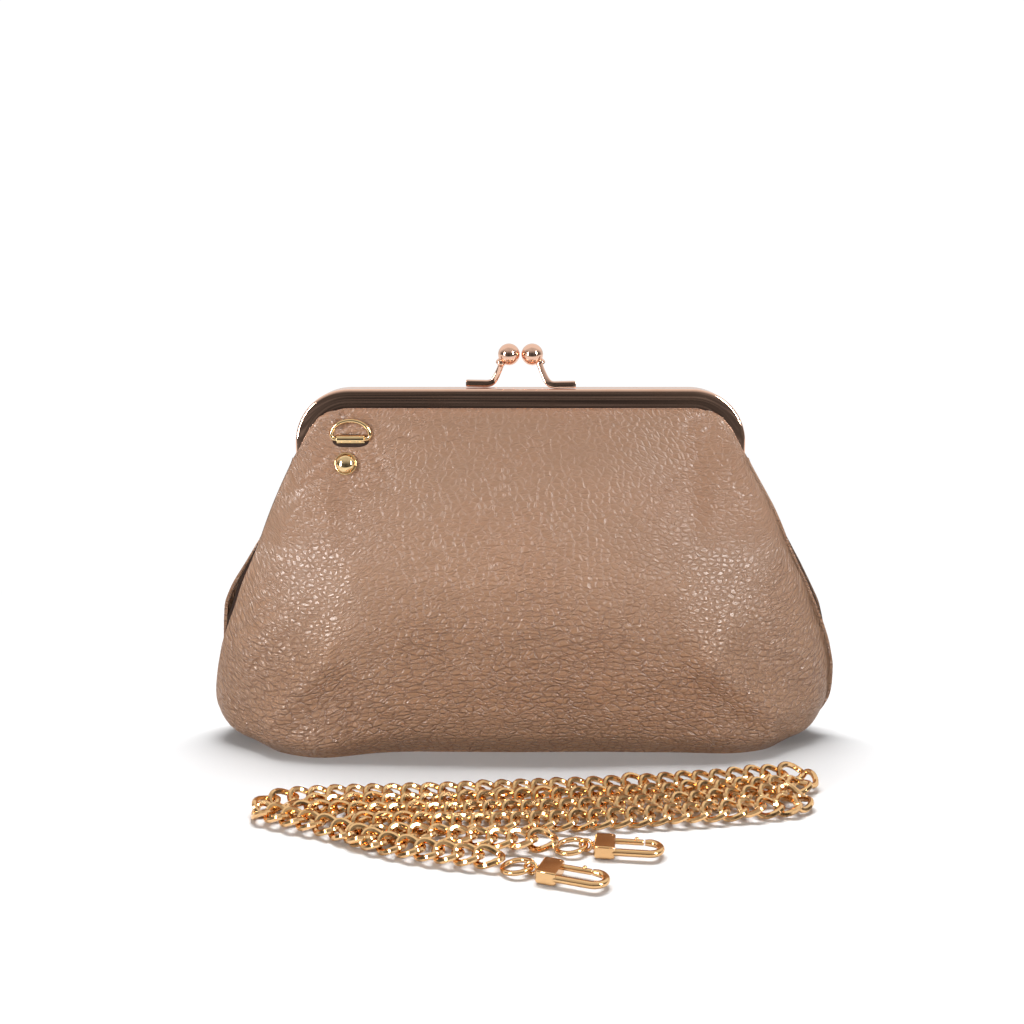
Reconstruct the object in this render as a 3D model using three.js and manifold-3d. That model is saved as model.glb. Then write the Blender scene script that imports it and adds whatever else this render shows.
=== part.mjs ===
// Frame purse with a kiss lock, two D-rings and a detachable curb-chain strap.
// Millimetres, +Z up, the front faces -Y, and the base stands on z = 0.
import * as THREE from "three";
import { mergeVertices } from "three/addons/utils/BufferGeometryUtils.js";
import Module from "manifold-3d";

// ---------- driving dimensions ----------
const gap = 0.3; // kept between touching pieces
const frameWidth = 182;
const frameTop = 147.5;
const frameCorner = 22; // outer radius of the frame's corners
const faceWidth = 7.8; // width of the polished band
const channelDepth = 6.2; // one frame half, front to back
const channelWall = 0.9;
const hingeDrop = 37.5; // from the frame's top to its hinge rivets
const earRadius = 3.6;
const earThick = 1.2;
const earOverlap = 2; // how far an ear runs up inside its arm
const armClearance = 2.4; // from an ear's eye to the end of an arm
const rivetShank = 1.2; // radius
const rivetHead = 2.6; // radius
const rivetHeadThick = 1;
const leather = 1.5;
const lining = 0.5;
const wadding = 0.7;
const tabRoom = 3.1; // from the leather's outside to the wadding
const baseBoard = 1;
const cordRadius = 0.5; // cord that jams the leather in the channel
const ballRadius = 4.4;
const ballRise = 13.5; // ball centres above the frame's top
const leverWidth = 4;
const leverThick = 2.6;
const footReach = 22.2; // from the middle to a lever foot's outer end
const footBend = 12; // from the middle to where a lever leaves the frame
const ringAcross = 68.4; // D-ring middle, from the purse's middle
const ringDrop = 20; // D-ring bar below the frame's top
const ringWidth = 17.2;
const ringHeight = 9.2;
const ringWire = 1.7;
const hangerWidth = 11.2;
const hangerSheet = 0.55;
const capAcross = 70.5; // rivet cap, from the purse's middle
const capDrop = 30; // rivet cap below the frame's top
const capRadius = 4.6;
const capHeight = 3.6;
const capShank = 1.1; // radius
const chainWidth = 7.6;
const chainThick = 3.4;
const claspLength = 7;
const claspWidth = 10.6;
const claspThick = 4.5;
const hookWire = 2.5;
const hookReach = 16.6;
const gateWire = 2;
const eyeRadius = 1.95; // centre line of the swivel eye
const eyeWire = 1.2;
const endRingRadius = 5.1; // centre line of the ring at each end of the chain
const endRingWire = 1.8;

// The purse's body: at each height, how far it stands out past the frame at each side, half its depth in the
// middle, and the fullness of its section, where 1 is a lens and larger is boxier.
const bodyShape = [
  { z: 0, flare: 24, depth: 21, full: 3.2 },
  { z: 3, flare: 31, depth: 25.5, full: 3 },
  { z: 9, flare: 37, depth: 28.8, full: 2.6 },
  { z: 20, flare: 39.5, depth: 31.2, full: 2 },
  { z: 34, flare: 38.5, depth: 32, full: 1.5 },
  { z: 52, flare: 35, depth: 30, full: 1.3 },
  { z: 70, flare: 27.5, depth: 25.5, full: 1.15 },
  { z: 86, flare: 18, depth: 20, full: 1.1 },
  { z: 100, flare: 10, depth: 15.5, full: 1.1 },
];
const throatSplit = 100; // below this the leather stands with the base, above it follows the frame

// ---------- places worked out from them ----------
const halfFrame = frameWidth / 2;
const body = bodyShape.map((s) => ({ ...s, width: halfFrame + s.flare }));
const hingeHeight = frameTop - hingeDrop;
const armBottom = hingeHeight + earRadius + armClearance;
const middleGap = gap; // each half stays this far from the middle plane
const channelFront = middleGap + channelDepth;
const leatherFront = channelFront - channelWall - gap; // the leather's outside in the channel
const throatWidth = halfFrame - faceWidth - 0.5; // half the leather's width between the arms
const shoulder = armBottom + 5; // the leather passes in front of the arms below this
const armCover = channelFront + leather + 1; // the leather's outside where it covers an arm
const waddingInset = tabRoom;
const liningInset = waddingInset + wadding + 2 * gap;
const pocketInset = liningInset + lining + 0.6;

const throat = [
  { z: hingeHeight, width: halfFrame + 6, depth: 12.3, full: 1.1 },
  { z: shoulder - 3, width: halfFrame + 2, depth: 9.8, full: 1.1 },
  { z: shoulder, width: throatWidth, depth: 9.2, full: 1.1 },
  { z: shoulder + 5, width: throatWidth, depth: 7.8, full: 1.1 },
  { z: frameTop - faceWidth, width: throatWidth, depth: leatherFront, full: 1.1 },
  { z: frameTop, width: throatWidth, depth: leatherFront, full: 1.1 },
];

// ---------- manifold ----------
const wasm = await Module();
wasm.setup();

function solidOf(geometry) {
  const bare = geometry.clone();
  bare.deleteAttribute("normal");
  bare.deleteAttribute("uv");
  bare.clearGroups();
  const welded = mergeVertices(bare, 1e-4);
  const vertProperties = new Float32Array(welded.attributes.position.array);
  const triVerts = new Uint32Array(welded.index.array);
  return new wasm.Manifold(new wasm.Mesh({ numProp: 3, vertProperties, triVerts }));
}

function geometryOf(solid) {
  const mesh = solid.getMesh();
  const geometry = new THREE.BufferGeometry();
  geometry.setAttribute("position", new THREE.BufferAttribute(new Float32Array(mesh.vertProperties), 3));
  geometry.setIndex(new THREE.BufferAttribute(new Uint32Array(mesh.triVerts), 1));
  geometry.computeVertexNormals();
  return geometry;
}

const cut = (blank, ...tools) => geometryOf(tools.reduce((s, t) => s.subtract(solidOf(t)), solidOf(blank)));
const join = (first, ...others) => geometryOf(others.reduce((s, t) => s.add(solidOf(t)), solidOf(first)));

// ---------- materials ----------
const finish = (color, roughness, metalness) =>
  new THREE.MeshStandardMaterial({ color, roughness, metalness });
const taupeLeather = finish(0xa98a75, 0.5, 0);
const roseGold = finish(0xd9a184, 0.12, 1);
const paleGold = finish(0xd8b27c, 0.15, 1);
const warmGold = finish(0xcf9a5c, 0.2, 1);
const liningCloth = finish(0x6e5a4c, 0.85, 0);
const waddingFelt = finish(0xd8d2c8, 0.95, 0);
const greyBoard = finish(0x8a8580, 0.9, 0);
const paperCord = finish(0xc9b48c, 0.9, 0);

const purse = new THREE.Group();
function add(name, geometry, material, parent = purse) {
  const mesh = new THREE.Mesh(geometry, material);
  mesh.name = name;
  parent.add(mesh);
  return mesh;
}

// ---------- small geometry helpers ----------
const rad = THREE.MathUtils.degToRad;

function rod(radius, from, to, sides = 20) {
  const start = new THREE.Vector3(...from);
  const end = new THREE.Vector3(...to);
  const geometry = new THREE.CylinderGeometry(radius, radius, start.distanceTo(end), sides);
  const turn = new THREE.Quaternion().setFromUnitVectors(
    new THREE.Vector3(0, 1, 0), end.clone().sub(start).normalize());
  geometry.applyQuaternion(turn);
  return geometry.translate(...start.add(end).multiplyScalar(0.5).toArray());
}

function block(low, high) {
  const size = high.map((v, i) => v - low[i]);
  return new THREE.BoxGeometry(...size).translate(...low.map((v, i) => v + size[i] / 2));
}

// A plate drawn in the XZ plane, from y = front to y = back.
function plateXZ(shape, front, back, options = {}) {
  const depth = back - front - 2 * (options.bevelThickness || 0);
  const geometry = new THREE.ExtrudeGeometry(shape, { depth, bevelEnabled: false, curveSegments: 8, ...options });
  geometry.rotateX(Math.PI / 2);
  return geometry.translate(0, back - (options.bevelThickness || 0), 0);
}

// A plate drawn in the YZ plane (shape x is y, shape y is z), from x = low to x = high.
function plateYZ(shape, low, high) {
  const geometry = new THREE.ExtrudeGeometry(shape, { depth: high - low, bevelEnabled: false, curveSegments: 10 });
  geometry.rotateY(Math.PI / 2).rotateX(Math.PI / 2);
  return geometry.translate(low, 0, 0);
}

function along(points, shape, steps, closed = false) {
  const path = new THREE.CatmullRomCurve3(points.map((p) => new THREE.Vector3(...p)), closed, "centripetal");
  return new THREE.ExtrudeGeometry(shape, { steps, bevelEnabled: false, extrudePath: path });
}

function oval(halfX, halfY, sides) {
  const points = Array.from({ length: sides }, (_, i) => {
    const turn = ((i + 0.5) / sides) * 2 * Math.PI;
    return new THREE.Vector2(halfX * Math.cos(turn), halfY * Math.sin(turn));
  });
  return new THREE.Shape(points);
}

function ringSolid(radius, wireRadius, around = 28, sides = 10) {
  const section = Array.from({ length: sides + 1 }, (_, i) => {
    const turn = -(i / sides) * 2 * Math.PI;
    return new THREE.Vector2(radius + wireRadius * Math.cos(turn), -wireRadius * Math.sin(turn));
  });
  return new THREE.LatheGeometry(section, around).rotateX(Math.PI / 2);
}

// ---------- the purse's soft surface ----------
const stations = [...body, ...throat];

function sized(z, key) {
  const high = Math.max(1, stations.findIndex((s) => s.z >= z));
  const b = z >= frameTop ? stations.length - 1 : high;
  const [low, top] = [stations[b - 1], stations[b]];
  const part = THREE.MathUtils.clamp((z - low.z) / (top.z - low.z), 0, 1);
  return THREE.MathUtils.lerp(low[key], top[key], part);
}

// How far the panel's side edge stays from the middle plane: at the seam below, round the hinge above.
function edgeDepth(z, across) {
  const seam = THREE.MathUtils.smoothstep(z, throatSplit - 25, hingeHeight);
  const plain = THREE.MathUtils.lerp(gap, leatherFront, seam);
  const cover = THREE.MathUtils.smoothstep(z, throatSplit - 20, hingeHeight - 5)
    * (1 - THREE.MathUtils.smoothstep(z, shoulder + 0.5, shoulder + 4));
  const outside = THREE.MathUtils.smoothstep(across, throatWidth - 13, throatWidth - 4);
  return Math.max(plain, THREE.MathUtils.lerp(plain, armCover, cover * outside));
}

// The depth of the surface that lies `inset` inside the leather's outside, at a share u of the half width.
function depthAt(u, z, inset, halfWidth) {
  const full = sized(z, "full");
  const across = Math.abs(u) * halfWidth;
  const edge = Math.max(edgeDepth(z, across) - inset, gap + 0.1 * Math.abs(u));
  const middle = Math.max(sized(z, "depth") - inset, edge);
  const free = z < shoulder ? 1 : THREE.MathUtils.smoothstep(reachAt(across, z), faceWidth + 1, faceWidth + 11);
  const round = Math.pow(1 - Math.pow(Math.abs(u), 1.2 + 1.2 * full), 0.9 / Math.sqrt(full));
  return edge + (middle - edge) * round * free;
}

// How far a point lies inside the frame's outline.
function reachAt(across, z) {
  const pastX = across - (halfFrame - frameCorner);
  const pastZ = z - (frameTop - frameCorner);
  if (pastX > 0 && pastZ > 0) return frameCorner - Math.hypot(pastX, pastZ);
  return Math.min(halfFrame - across, frameTop - z);
}

// The height of the leather's top edge, which follows the frame's outline inside the channel.
function topEdge(across, reach) {
  const radius = frameCorner - reach;
  const past = Math.max(0, across - (halfFrame - frameCorner));
  return frameTop - frameCorner + Math.sqrt(Math.max(0, radius * radius - past * past));
}

// A layer of the front panel between two insets. heights are its rows, and rows above the last body height
// close on the frame's outline. With base, the layer turns under and runs to the base's middle.
function layer({
  outer, inner, heights, columns, base = false, toFrame = 0, limit = Infinity, narrow = 0, sink = () => 0 }) {
  const spread = Array.from({ length: columns + 1 }, (_, i) => Math.sin(((2 * i) / columns - 1) * 0.5 * Math.PI));
  const blend = spread.map((s, i) => 0.5 * s + 0.5 * ((2 * i) / columns - 1));
  const skin = (inset) => {
    const rows = [];
    const settle = (z) => (z < 34 ? inset + (z * (34 - inset)) / 34 : z);
    const point = (u, z) => {
      const half = Math.min(sized(z, "width") - inset - narrow, limit);
      return [u * half, -depthAt(u, z, inset + sink(z), half), z];
    };
    if (base) {
      const floor = settle(0);
      for (const share of [0, 0.5]) {
        rows.push(blend.map((u) => {
          const [x, y] = point(u, floor);
          return [x, -gap + (y + gap) * (share || 0.02), floor];
        }));
      }
    }
    for (const z of heights) rows.push(blend.map((u) => point(u, settle(z))));
    if (toFrame) {
      const from = heights[heights.length - 1];
      for (const share of [0.35, 0.7, 1]) {
        rows.push(blend.map((u) => {
          const half = Math.min(throatWidth, limit) - inset * 0.2;
          const z = from + (topEdge(Math.abs(u) * half, toFrame) - from) * share;
          return [u * half, -depthAt(u, z, inset + sink(z), half), z];
        }));
      }
    }
    return rows;
  };
  return sheetSolid(skin(outer), skin(inner));
}

// Closes two grids of the same size, outside and inside, into one solid.
function sheetSolid(front, back) {
  const rows = front.length;
  const columns = front[0].length;
  const positions = [...front.flat(), ...back.flat()].flat();
  const at = (side, r, c) => side * rows * columns + r * columns + c;
  const index = [];
  const quad = (a, b, c, d) => index.push(a, b, c, a, c, d);
  for (let r = 0; r < rows - 1; r++) {
    for (let c = 0; c < columns - 1; c++) {
      quad(at(0, r, c), at(0, r, c + 1), at(0, r + 1, c + 1), at(0, r + 1, c));
      quad(at(1, r, c), at(1, r + 1, c), at(1, r + 1, c + 1), at(1, r, c + 1));
    }
  }
  for (let c = 0; c < columns - 1; c++) {
    quad(at(0, 0, c), at(1, 0, c), at(1, 0, c + 1), at(0, 0, c + 1));
    quad(at(0, rows - 1, c), at(0, rows - 1, c + 1), at(1, rows - 1, c + 1), at(1, rows - 1, c));
  }
  for (let r = 0; r < rows - 1; r++) {
    quad(at(0, r, 0), at(0, r + 1, 0), at(1, r + 1, 0), at(1, r, 0));
    quad(at(0, r, columns - 1), at(1, r, columns - 1), at(1, r + 1, columns - 1), at(0, r + 1, columns - 1));
  }
  const geometry = new THREE.BufferGeometry();
  geometry.setAttribute("position", new THREE.Float32BufferAttribute(positions, 3));
  geometry.setIndex(index);
  geometry.computeVertexNormals();
  return geometry;
}

// A point on the leather's outside and the way out of it.
function onLeather(x, z) {
  const outside = (px, pz) => {
    const half = sized(pz, "width");
    return new THREE.Vector3(px, -depthAt(px / half, pz, 0, half), pz);
  };
  const point = outside(x, z);
  const across = outside(x + 1, z).sub(point);
  const up = outside(x, z + 1).sub(point);
  return { point, out: across.cross(up).normalize() };
}

const lowRows = [0, 1.5, 4, 9, 16, 26, 38, 54, 70, 82, 92, throatSplit - gap / 2];
const highRows = [throatSplit + gap / 2, 105, hingeHeight, shoulder - 3, shoulder, shoulder + 2, shoulder + 5];

// ---------- frame halves ----------
function bandShape(reach, bottom) {
  const x = halfFrame - reach;
  const top = frameTop - reach;
  const radius = Math.max(frameCorner - reach, 1);
  const shape = new THREE.Shape();
  shape.moveTo(-x, bottom);
  shape.lineTo(-x, top - radius);
  shape.absarc(-x + radius, top - radius, radius, Math.PI, Math.PI / 2, true);
  shape.lineTo(x - radius, top);
  shape.absarc(x - radius, top - radius, radius, Math.PI / 2, 0, true);
  shape.lineTo(x, bottom);
  return shape;
}

function bandBetween(outerReach, innerReach, bottom) {
  const outline = bandShape(outerReach, bottom).getPoints(7);
  const inner = bandShape(innerReach, bottom).getPoints(7).reverse();
  return new THREE.Shape([...outline, ...inner]);
}

function frameHalf(earLow) {
  const round = { bevelEnabled: true, bevelThickness: 0.8, bevelSize: 0.8, bevelOffset: -0.8, bevelSegments: 1 };
  const blank = plateXZ(bandBetween(0, faceWidth, armBottom), -channelFront, -middleGap, round);
  const groove = plateXZ(
    bandBetween(channelWall, faceWidth + 2, armBottom - 1), -channelFront + channelWall, -middleGap - channelWall);
  let half = cut(blank, groove);
  for (const side of [-1, 1]) {
    const low = side < 0 ? -earLow - earThick : earLow;
    const ear = new THREE.Shape();
    ear.moveTo(-channelFront + channelWall / 2, armBottom + earOverlap);
    ear.lineTo(-channelFront + channelWall / 2, armBottom - 1);
    ear.absarc(0, hingeHeight, earRadius, Math.PI, 2.25 * Math.PI, false);
    ear.lineTo(-middleGap - channelWall / 2, armBottom - 0.6);
    ear.lineTo(-middleGap - channelWall / 2, armBottom + earOverlap);
    const plate = plateYZ(ear, low, low + earThick);
    const eye = rod(rivetShank + gap, [low - 1, 0, hingeHeight], [low + earThick + 1, 0, hingeHeight]);
    half = join(half, cut(plate, eye));
  }
  return half;
}

const earOuter = halfFrame - 1.6 - earThick; // the front half's ears run outside
const earInner = earOuter - earThick - 2 * gap; // the rear half's ears run inside them

const front = new THREE.Group();
const rear = new THREE.Group();
rear.rotation.z = Math.PI;
purse.add(front, rear);

const faces = [["front", front, earOuter], ["rear", rear, earInner]];
for (const [side, group, ear] of faces) {
  add(`${side}_frame_half`, frameHalf(ear), roseGold, group);
}

// ---------- hinge rivets ----------
const riveted = earOuter + earThick + gap; // under the outer head
const tail = earInner - gap; // under the inner head
for (const [side, sign] of [["left", -1], ["right", 1]]) {
  const profile = [
    [0, tail - rivetHeadThick], [rivetHead, tail - rivetHeadThick], [rivetHead, tail], [rivetShank, tail],
    [rivetShank, riveted], [rivetHead, riveted], [rivetHead * 0.7, riveted + rivetHeadThick],
    [0, riveted + rivetHeadThick],
  ].map(([r, x]) => new THREE.Vector2(r, x));
  const rivet = new THREE.LatheGeometry(profile, 14).rotateZ(-sign * Math.PI / 2);
  add(`${side}_hinge_rivet`, rivet.translate(0, 0, hingeHeight), roseGold);
}

// ---------- leather, wadding and lining ----------
const slotHeight = ringWire + 2 * hangerSheet + 1.4;
const barHeight = frameTop - ringDrop;
const capHeightUp = frameTop - capDrop;
const capSeat = onLeather(-capAcross, capHeightUp);

function slotTool() {
  return block([-ringAcross - hangerWidth / 2 - gap, -channelFront - 8, barHeight - slotHeight / 2],
    [-ringAcross + hangerWidth / 2 + gap, -gap, barHeight + slotHeight / 2]);
}

function rivetTool(radius) {
  const start = capSeat.point.clone().addScaledVector(capSeat.out, 3);
  const end = capSeat.point.clone().addScaledVector(capSeat.out, -tabRoom - wadding);
  return rod(radius, start.toArray(), end.toArray(), 16);
}

const capPocket = rod(capRadius + gap, capSeat.point.clone().addScaledVector(capSeat.out, capHeight).toArray(),
  capSeat.point.toArray(), 22);

for (const [side, group] of faces) {
  const lower = layer({ outer: 0, inner: leather, heights: lowRows, columns: 18, base: true });
  add(`${side}_leather_body`, lower, taupeLeather, group);
  const upper = layer({
    outer: 0, inner: leather, heights: highRows, columns: 16, toFrame: channelWall + 2.5 });
  add(`${side}_leather_throat`, cut(upper, slotTool(), rivetTool(capShank + gap), capPocket), taupeLeather, group);
  const felt = layer({
    outer: waddingInset, inner: waddingInset + wadding, heights: [10, 20, 36, 60, 80, 96], columns: 12 });
  add(`${side}_wadding`, felt, waddingFelt, group);
  const cloth = layer({
    outer: liningInset, inner: liningInset + lining, columns: 12, base: true,
    heights: [0, 4, 10, 20, 36, 60, 80, throatSplit - 2], narrow: 0.6 });
  add(`${side}_lining_body`, cloth, liningCloth, group);
  const behindRivet = (z) => 3 * (1 - THREE.MathUtils.smoothstep(z, barHeight, frameTop - faceWidth - 1));
  const collar = layer({
    outer: leather + gap, inner: leather + gap + lining, columns: 12, limit: throatWidth - 2, sink: behindRivet,
    heights: [throatSplit + 6, hingeHeight, shoulder, shoulder + 5, barHeight + 3], toFrame: channelWall + 3.2 });
  add(`${side}_lining_throat`, collar, liningCloth, group);
}

// A board stiffens the base between the leather and the lining.
const boardInset = 14;
const board = new THREE.Shape([[-1, 0], [-0.86, -1], [0.86, -1], [1, 0], [0.86, 1], [-0.86, 1]].map(
  ([x, y]) => new THREE.Vector2(x * (body[0].width - boardInset), y * (body[0].depth - boardInset / 3))));
add("base_board", new THREE.ExtrudeGeometry(board, { depth: baseBoard, bevelEnabled: false })
  .translate(0, 0, leather + gap * 2), greyBoard);

// ---------- slip pocket on the rear lining ----------
const pocket = layer({
  outer: pocketInset, inner: pocketInset + lining, heights: [30, 48, 66, 84], columns: 8, limit: 58 });
add("slip_pocket", pocket, liningCloth, rear);

// ---------- cords that jam the leather in the channels ----------
const cordReach = (channelWall + faceWidth) / 2;
const cordBack = middleGap + channelWall + cordRadius + gap / 2;
for (const [side, group] of faces) {
  const line = bandShape(cordReach, armBottom + earOverlap + 1).getPoints(8).map((p) => [p.x, -cordBack, p.y]);
  const path = new THREE.CurvePath();
  line.slice(1).forEach((p, i) => path.add(
    new THREE.LineCurve3(new THREE.Vector3(...line[i]), new THREE.Vector3(...p))));
  const cord = new THREE.ExtrudeGeometry(oval(cordRadius, cordRadius, 6), {
    steps: 32, bevelEnabled: false, extrudePath: new THREE.CatmullRomCurve3(path.getSpacedPoints(30)) });
  add(`${side}_channel_cord`, cord, paperCord, group);
}

// ---------- kiss lock ----------
const ballAcross = ballRadius + gap;
const leverFoot = frameTop + gap + leverThick / 2;
for (const [side, group] of faces) {
  const footBack = -channelFront / 2;
  const ball = new THREE.Vector3(ballAcross, 0, frameTop + ballRise);
  const knee = new THREE.Vector3(footBend, footBack, leverFoot);
  const neck = new THREE.Vector3(ballAcross + 3.4, footBack * 0.35, frameTop + ballRise * 0.62);
  const out = ball.clone().sub(neck).normalize();
  const peg = ball.clone().addScaledVector(out, -ballRadius * 0.45);
  const spine = new THREE.CatmullRomCurve3([
    new THREE.Vector3(footReach, footBack, leverFoot), new THREE.Vector3(footBend + 4, footBack, leverFoot),
    knee, neck.clone().lerp(knee, 0.35), neck], false, "centripetal");
  const strip = new THREE.ExtrudeGeometry(oval(leverThick / 2, leverWidth / 2, 8), {
    steps: 14, bevelEnabled: false, extrudePath: spine });
  const pegRadius = leverThick / 2 - 0.2;
  const start = neck.clone().addScaledVector(out, -1);
  add(`${side}_lock_lever`, join(strip, rod(pegRadius, start.toArray(), peg.toArray(), 12)), roseGold, group);
  const sphere = new THREE.SphereGeometry(ballRadius, 18, 12).translate(...ball.toArray());
  const socket = rod(pegRadius + gap, ball.clone().addScaledVector(out, -ballRadius * 1.5).toArray(),
    peg.clone().addScaledVector(out, gap).toArray(), 12);
  const shoulderCut = rod(leverWidth, ball.clone().addScaledVector(out, -ballRadius * 1.5).toArray(),
    ball.clone().addScaledVector(out, -ballRadius * 0.9).toArray(), 12);
  add(`${side}_lock_ball`, cut(sphere, socket, shoulderCut), roseGold, group);
}

// ---------- D-rings, their hangers and the rivets that hold them ----------
const hangerOuter = ringWire / 2 + gap + hangerSheet;
const slotFace = onLeather(-ringAcross, barHeight).point.y;
const barFront = slotFace - ringWire / 2 - gap; // the bar's middle
const hangerBack = (z) => onLeather(-ringAcross, z).point.y + leather + gap * 2;

function dRing() {
  const half = (ringWidth - ringWire) / 2;
  const rise = ringHeight - ringWire;
  const corner = 2;
  const shape = new THREE.Path();
  shape.moveTo(0, 0);
  shape.lineTo(half - corner, 0);
  shape.absarc(half - corner, corner, corner, -Math.PI / 2, 0, false);
  shape.bezierCurveTo(half, rise * 0.75, half * 0.62, rise, 0, rise);
  shape.bezierCurveTo(-half * 0.62, rise, -half, rise * 0.75, -half, corner);
  shape.absarc(-half + corner, corner, corner, Math.PI, 1.5 * Math.PI, false);
  const points = shape.getSpacedPoints(40).slice(0, -1).map((p) => new THREE.Vector3(p.x, 0, p.y));
  const path = new THREE.CatmullRomCurve3(points, true);
  return endless(new THREE.ExtrudeGeometry(oval(ringWire / 2, ringWire / 2, 8), {
    steps: 30, bevelEnabled: false, extrudePath: path }), 8);
}

// A closed sweep keeps two lids where it meets itself: they are left off, and the seam is welded.
const seamWeld = 0.01;

function endless(geometry, sides) {
  const flat = geometry.index ? geometry.toNonIndexed() : geometry;
  const lids = (sides - 2) * 2 * 9;
  const kept = flat.attributes.position.array.slice(lids);
  const open = new THREE.BufferGeometry();
  open.setAttribute("position", new THREE.BufferAttribute(kept, 3));
  return mergeVertices(open, seamWeld);
}

for (const [side, group] of faces) {
  add(`${side}_d_ring`, dRing().translate(-ringAcross, barFront, barHeight), paleGold, group);

  const low = capHeightUp - capShank - 2.4;
  const leave = barHeight - hangerOuter * 0.8;
  const strap = [[hangerBack(leave), leave], [hangerBack(low), low]];
  const loop = new THREE.Shape();
  loop.absarc(barFront, barHeight, hangerOuter, 0, 2 * Math.PI, false);
  const eye = new THREE.Path();
  eye.absarc(barFront, barHeight, hangerOuter - hangerSheet, 0, 2 * Math.PI, true);
  loop.holes.push(eye);
  const strip = new THREE.Shape([
    new THREE.Vector2(barFront, barHeight - hangerOuter), new THREE.Vector2(...strap[0]),
    new THREE.Vector2(...strap[1]), new THREE.Vector2(strap[1][0] + hangerSheet, strap[1][1]),
    new THREE.Vector2(strap[0][0] + hangerSheet, strap[0][1]),
    new THREE.Vector2(barFront + hangerOuter * 0.8, barHeight - hangerOuter * 0.55),
    new THREE.Vector2(barFront, barHeight - hangerOuter + hangerSheet)]);
  const sides = [-ringAcross - hangerWidth / 2, -ringAcross + hangerWidth / 2];
  const plate = cut(join(plateYZ(loop, ...sides), plateYZ(strip, ...sides)), rivetTool(capShank + gap));
  add(`${side}_ring_hanger`, plate, paleGold, group);

  const shankEnd = -(hangerBack(capHeightUp) - capSeat.point.y) - hangerSheet - gap;
  const profile = [[0, shankEnd - 0.6], [capShank + 1.2, shankEnd - 0.6], [capShank + 1.2, shankEnd],
    [capShank, shankEnd], [capShank, gap], [capRadius, gap], [capRadius, gap + 0.9]];
  for (const turn of [70, 50, 30]) {
    profile.push([(capRadius - 0.5) * Math.sin(rad(turn)), gap + 0.9 + (capHeight - 0.9) * Math.cos(rad(turn))]);
  }
  profile.push([0, gap + capHeight]);
  const cap = new THREE.LatheGeometry(profile.map(([r, y]) => new THREE.Vector2(r, y)), 18);
  cap.applyQuaternion(new THREE.Quaternion().setFromUnitVectors(new THREE.Vector3(0, 1, 0), capSeat.out));
  add(`${side}_ring_rivet`, cap.translate(...capSeat.point.toArray()), paleGold, group);
}

// ---------- chain strap, laid in front of the purse ----------
const strap = new THREE.Group();
purse.add(strap);
const chainMiddle = chainThick / 2;

const hank = new THREE.Shape();
hank.moveTo(-90, -63);
hank.lineTo(13, -57);
hank.lineTo(106, -46);
hank.absarc(106, -55, 9, Math.PI / 2, -0.2, true);
hank.lineTo(108, -79);
hank.lineTo(97, -86);
hank.lineTo(60, -95);
hank.lineTo(13, -100);
hank.lineTo(-44, -97.3);
hank.lineTo(-54, -99.5);
hank.lineTo(-61, -103.5);
hank.lineTo(-68, -98);
hank.lineTo(-78, -94.5);
hank.absarc(-90, -79, 15.6, -Math.PI / 2, -1.5 * Math.PI, true);
add("chain_hank", new THREE.ExtrudeGeometry(hank, { depth: chainThick, bevelEnabled: false, curveSegments: 8 }),
  warmGold, strap);

const strand = oval(chainThick / 2, chainWidth / 2, 8);
const tails = [
  ["chain_tail_a", [[10.6, -107.9], [-7.5, -106.2], [-26, -103.6], [-40, -102]]],
  ["chain_tail_b", [[-7.8, -120.2], [-24, -117.2], [-41, -111.6], [-51, -107], [-57, -104.2]]],
];
for (const [name, route] of tails) {
  const length = route.slice(1).reduce((sum, p, i) => sum + Math.hypot(p[0] - route[i][0], p[1] - route[i][1]), 0);
  const points = route.map(([x, y]) => [x, y, chainMiddle]);
  add(name, along(points, strand, Math.round(length / (2.5 * chainThick))), warmGold, strap);
}

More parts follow.
